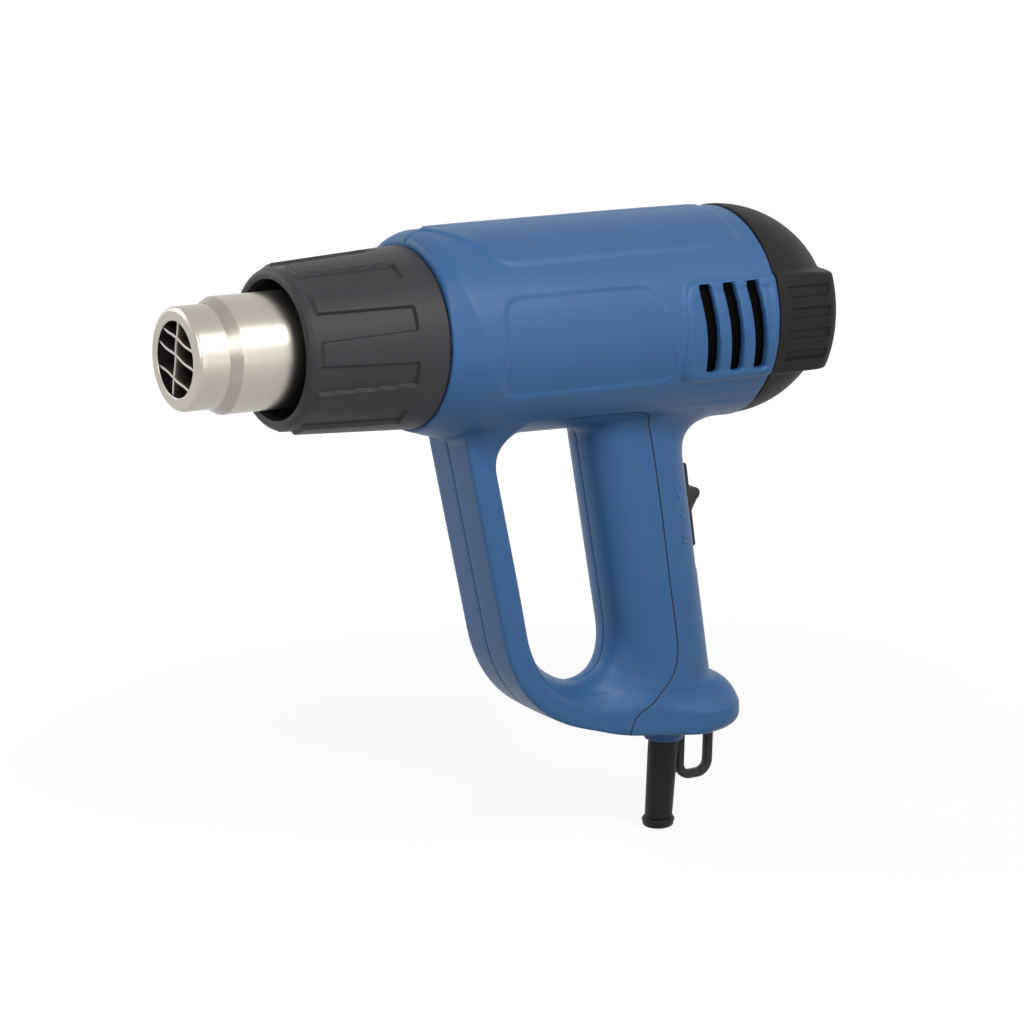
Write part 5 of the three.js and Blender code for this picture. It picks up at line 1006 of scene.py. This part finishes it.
# %% Hanging loop
LOOP_TOP, LOOP_LOW, LOOP_BEND = -145.5, -171.7, 4.6
LOOP_THICK, LOOP_ROUND = 3.2, 0.9
front_bend = arc(LOOP_LEGS[0] + LOOP_BEND, LOOP_LOW + LOOP_BEND, LOOP_BEND, 180, 270, 13)
rear_bend = arc(LOOP_LEGS[1] - LOOP_BEND, LOOP_LOW + LOOP_BEND, LOOP_BEND, 270, 360, 13)
route = refine([[LOOP_LEGS[0], LOOP_TOP], *front_bend, *rear_bend, [LOOP_LEGS[1], LOOP_TOP]], 1.5)
way = unit(np.gradient(route, axis=0))
loop_path = np.stack([route[:, 0], np.full(len(route), LOOP_SIDE), route[:, 1]], axis=-1)
outwards = np.stack([-way[:, 1], 0 * way[:, 0], way[:, 0]], axis=-1)
bar_section = rounded_section(LOOP_THICK, LOOP_THICK, LOOP_ROUND, 4)
points, quads, ends = carried(loop_path, bar_section, outwards, (0, 1, 0))
make_piece("hanging_loop_bar", points, quads, "black_moulding", stands_for=["hanging_loop"], ends=ends)

# %% [markdown]
# ## Finishes for what shows inside
# Some of the inner pieces show in the mouth and in the screw wells. Their solids are fine enough there, so they stay
# and only get finishes.

# %% Inner finishes
screws = ["%s_screw_%d" % (kind, n) for kind, count in (("housing", 4), ("clamp", 2), ("flange", 3))
          for n in range(1, count + 1)]
inner_finishes = {
    "dark_steel": [*screws, "motor_can", "armature", "thermal_cutout", "heater_coil"],
    "nozzle_steel": ["motor_shaft"],
    "mica_sheet": ["mica_sleeve", "mica_card_upright", "mica_card_level", "heater_base"],
    "pale_moulding": ["fan_duct", "motor_bracket", "end_bell", "switch_body"],
    "black_moulding": ["fan", "cord_clamp"],
    "ferrite_block": ["magnet_upper", "magnet_lower", "brush_left", "brush_right"],
    "copper_bare": ["commutator", "bush_front", "bush_rear"],
    "board_lacquer": ["rectifier_board", "capacitor"],
    "lead_sleeve": ["lead_supply", "lead_motor"],
}
for finish, names in inner_finishes.items():
    for name in names:
        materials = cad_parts[name].data.materials
        materials.clear()
        materials.append(finishes[finish])
print("inner pieces finished:", sum(len(names) for names in inner_finishes.values()))

# %% [markdown]
# ## The studio
# The gun is over a white floor. Floor and world shine white for the camera and in reflections and give little light
# otherwise, so that the lamps shape the gun. A Light Path node tells which rays are which.

# %% Floor and world
FLOOR_GAP, FLOOR_SPAN = 0.0004, 6.0
GLOW_LOW, GLOW_FROM, GLOW_TO = 0.85, 0.2, 0.6  # the glow below the gun, and where its rise begins and ends
PAPER_TONE, WORLD_FILL = 0.2, 0.08


def seen(shade):
    """1 for rays from the camera, reflections and rays through glass, and 0 for all others."""
    rays = shade.add("ShaderNodeLightPath").socket.node.outputs
    flags = [Shade(shade.tree, rays["Is %s Ray" % kind]) for kind in ("Camera", "Glossy", "Transmission")]
    return shade.math("MINIMUM", sum(flags), 1.0)


floor_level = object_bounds()[0][2] - FLOOR_GAP
floor_corners = [(x * FLOOR_SPAN, y * FLOOR_SPAN, floor_level) for x, y in ((-1, -1), (1, -1), (1, 1), (-1, 1))]
floor_mesh = bpy.data.meshes.new("studio_floor")
floor_mesh.from_pydata(floor_corners, [], [(0, 1, 2, 3)])
floor = bpy.data.objects.new("studio_floor", floor_mesh)
bpy.context.scene.collection.objects.link(floor)
paper, shader, shade = start_finish("studio_paper", 0.9)
shader.inputs["Base Color"].default_value = (PAPER_TONE, PAPER_TONE, PAPER_TONE, 1)
spot = shade.add("ShaderNodeTexCoord", output="Object")
away = shade.add("ShaderNodeVectorMath", {"operation": "LENGTH"}, {0: spot}, output="Value")
rise = {"Value": away, "From Min": GLOW_FROM, "From Max": GLOW_TO, "To Min": GLOW_LOW}
level = shade.add("ShaderNodeMapRange", None, rise)
glow = shade.add("ShaderNodeEmission", None, {"Color": (1, 1, 1, 1), "Strength": seen(shade) * level})
both = shade.add("ShaderNodeAddShader", None, {0: Shade(shade.tree, shader.outputs[0]), 1: glow})
paper.node_tree.links.new(both.socket, paper.node_tree.nodes["Material Output"].inputs["Surface"])
floor_mesh.materials.append(paper)

world = bpy.data.worlds.new("studio_world")
bpy.context.scene.world = world
world.use_nodes = True
background = world.node_tree.nodes["Background"]
background.inputs["Color"].default_value = (1, 1, 1, 1)
sky = Shade(world.node_tree)
feed(sky, seen(sky) * (1.0 - WORLD_FILL) + WORLD_FILL, background, "Strength")
print("floor at", round(floor_level, 4))

# %% [markdown]
# ## The lamps
# Four square soft lamps, all turned to the middle of the grip, light the gun from above, from behind, from the
# nozzle's side and low from its left. Broad lamps give the soft highlights that satin plastic shows.

# %% Lamps
LAMPS = (  # name, place and size in metres, watts
    ("key_lamp", (0.1, -0.5, 0.5), 0.35, 2.1),
    ("back_lamp", (-0.45, 0.5, 0.36), 0.45, 1.3),
    ("front_lamp", (-0.5, -0.4, 0.36), 0.35, 1.55),
    ("side_lamp", (0.0, -0.7, 0.15), 0.4, 0.7),
)
for name, spot, size, watts in LAMPS:
    light = bpy.data.lights.new(name, "AREA")
    light.size = size
    light.energy = watts
    holder = bpy.data.objects.new(name, light)
    bpy.context.scene.collection.objects.link(holder)
    holder.location = spot
    holder.rotation_euler = (-Vector(spot)).to_track_quat("-Z", "Y").to_euler()
bpy.context.scene.view_settings.view_transform = "Standard"
print("lamps:", len(LAMPS))
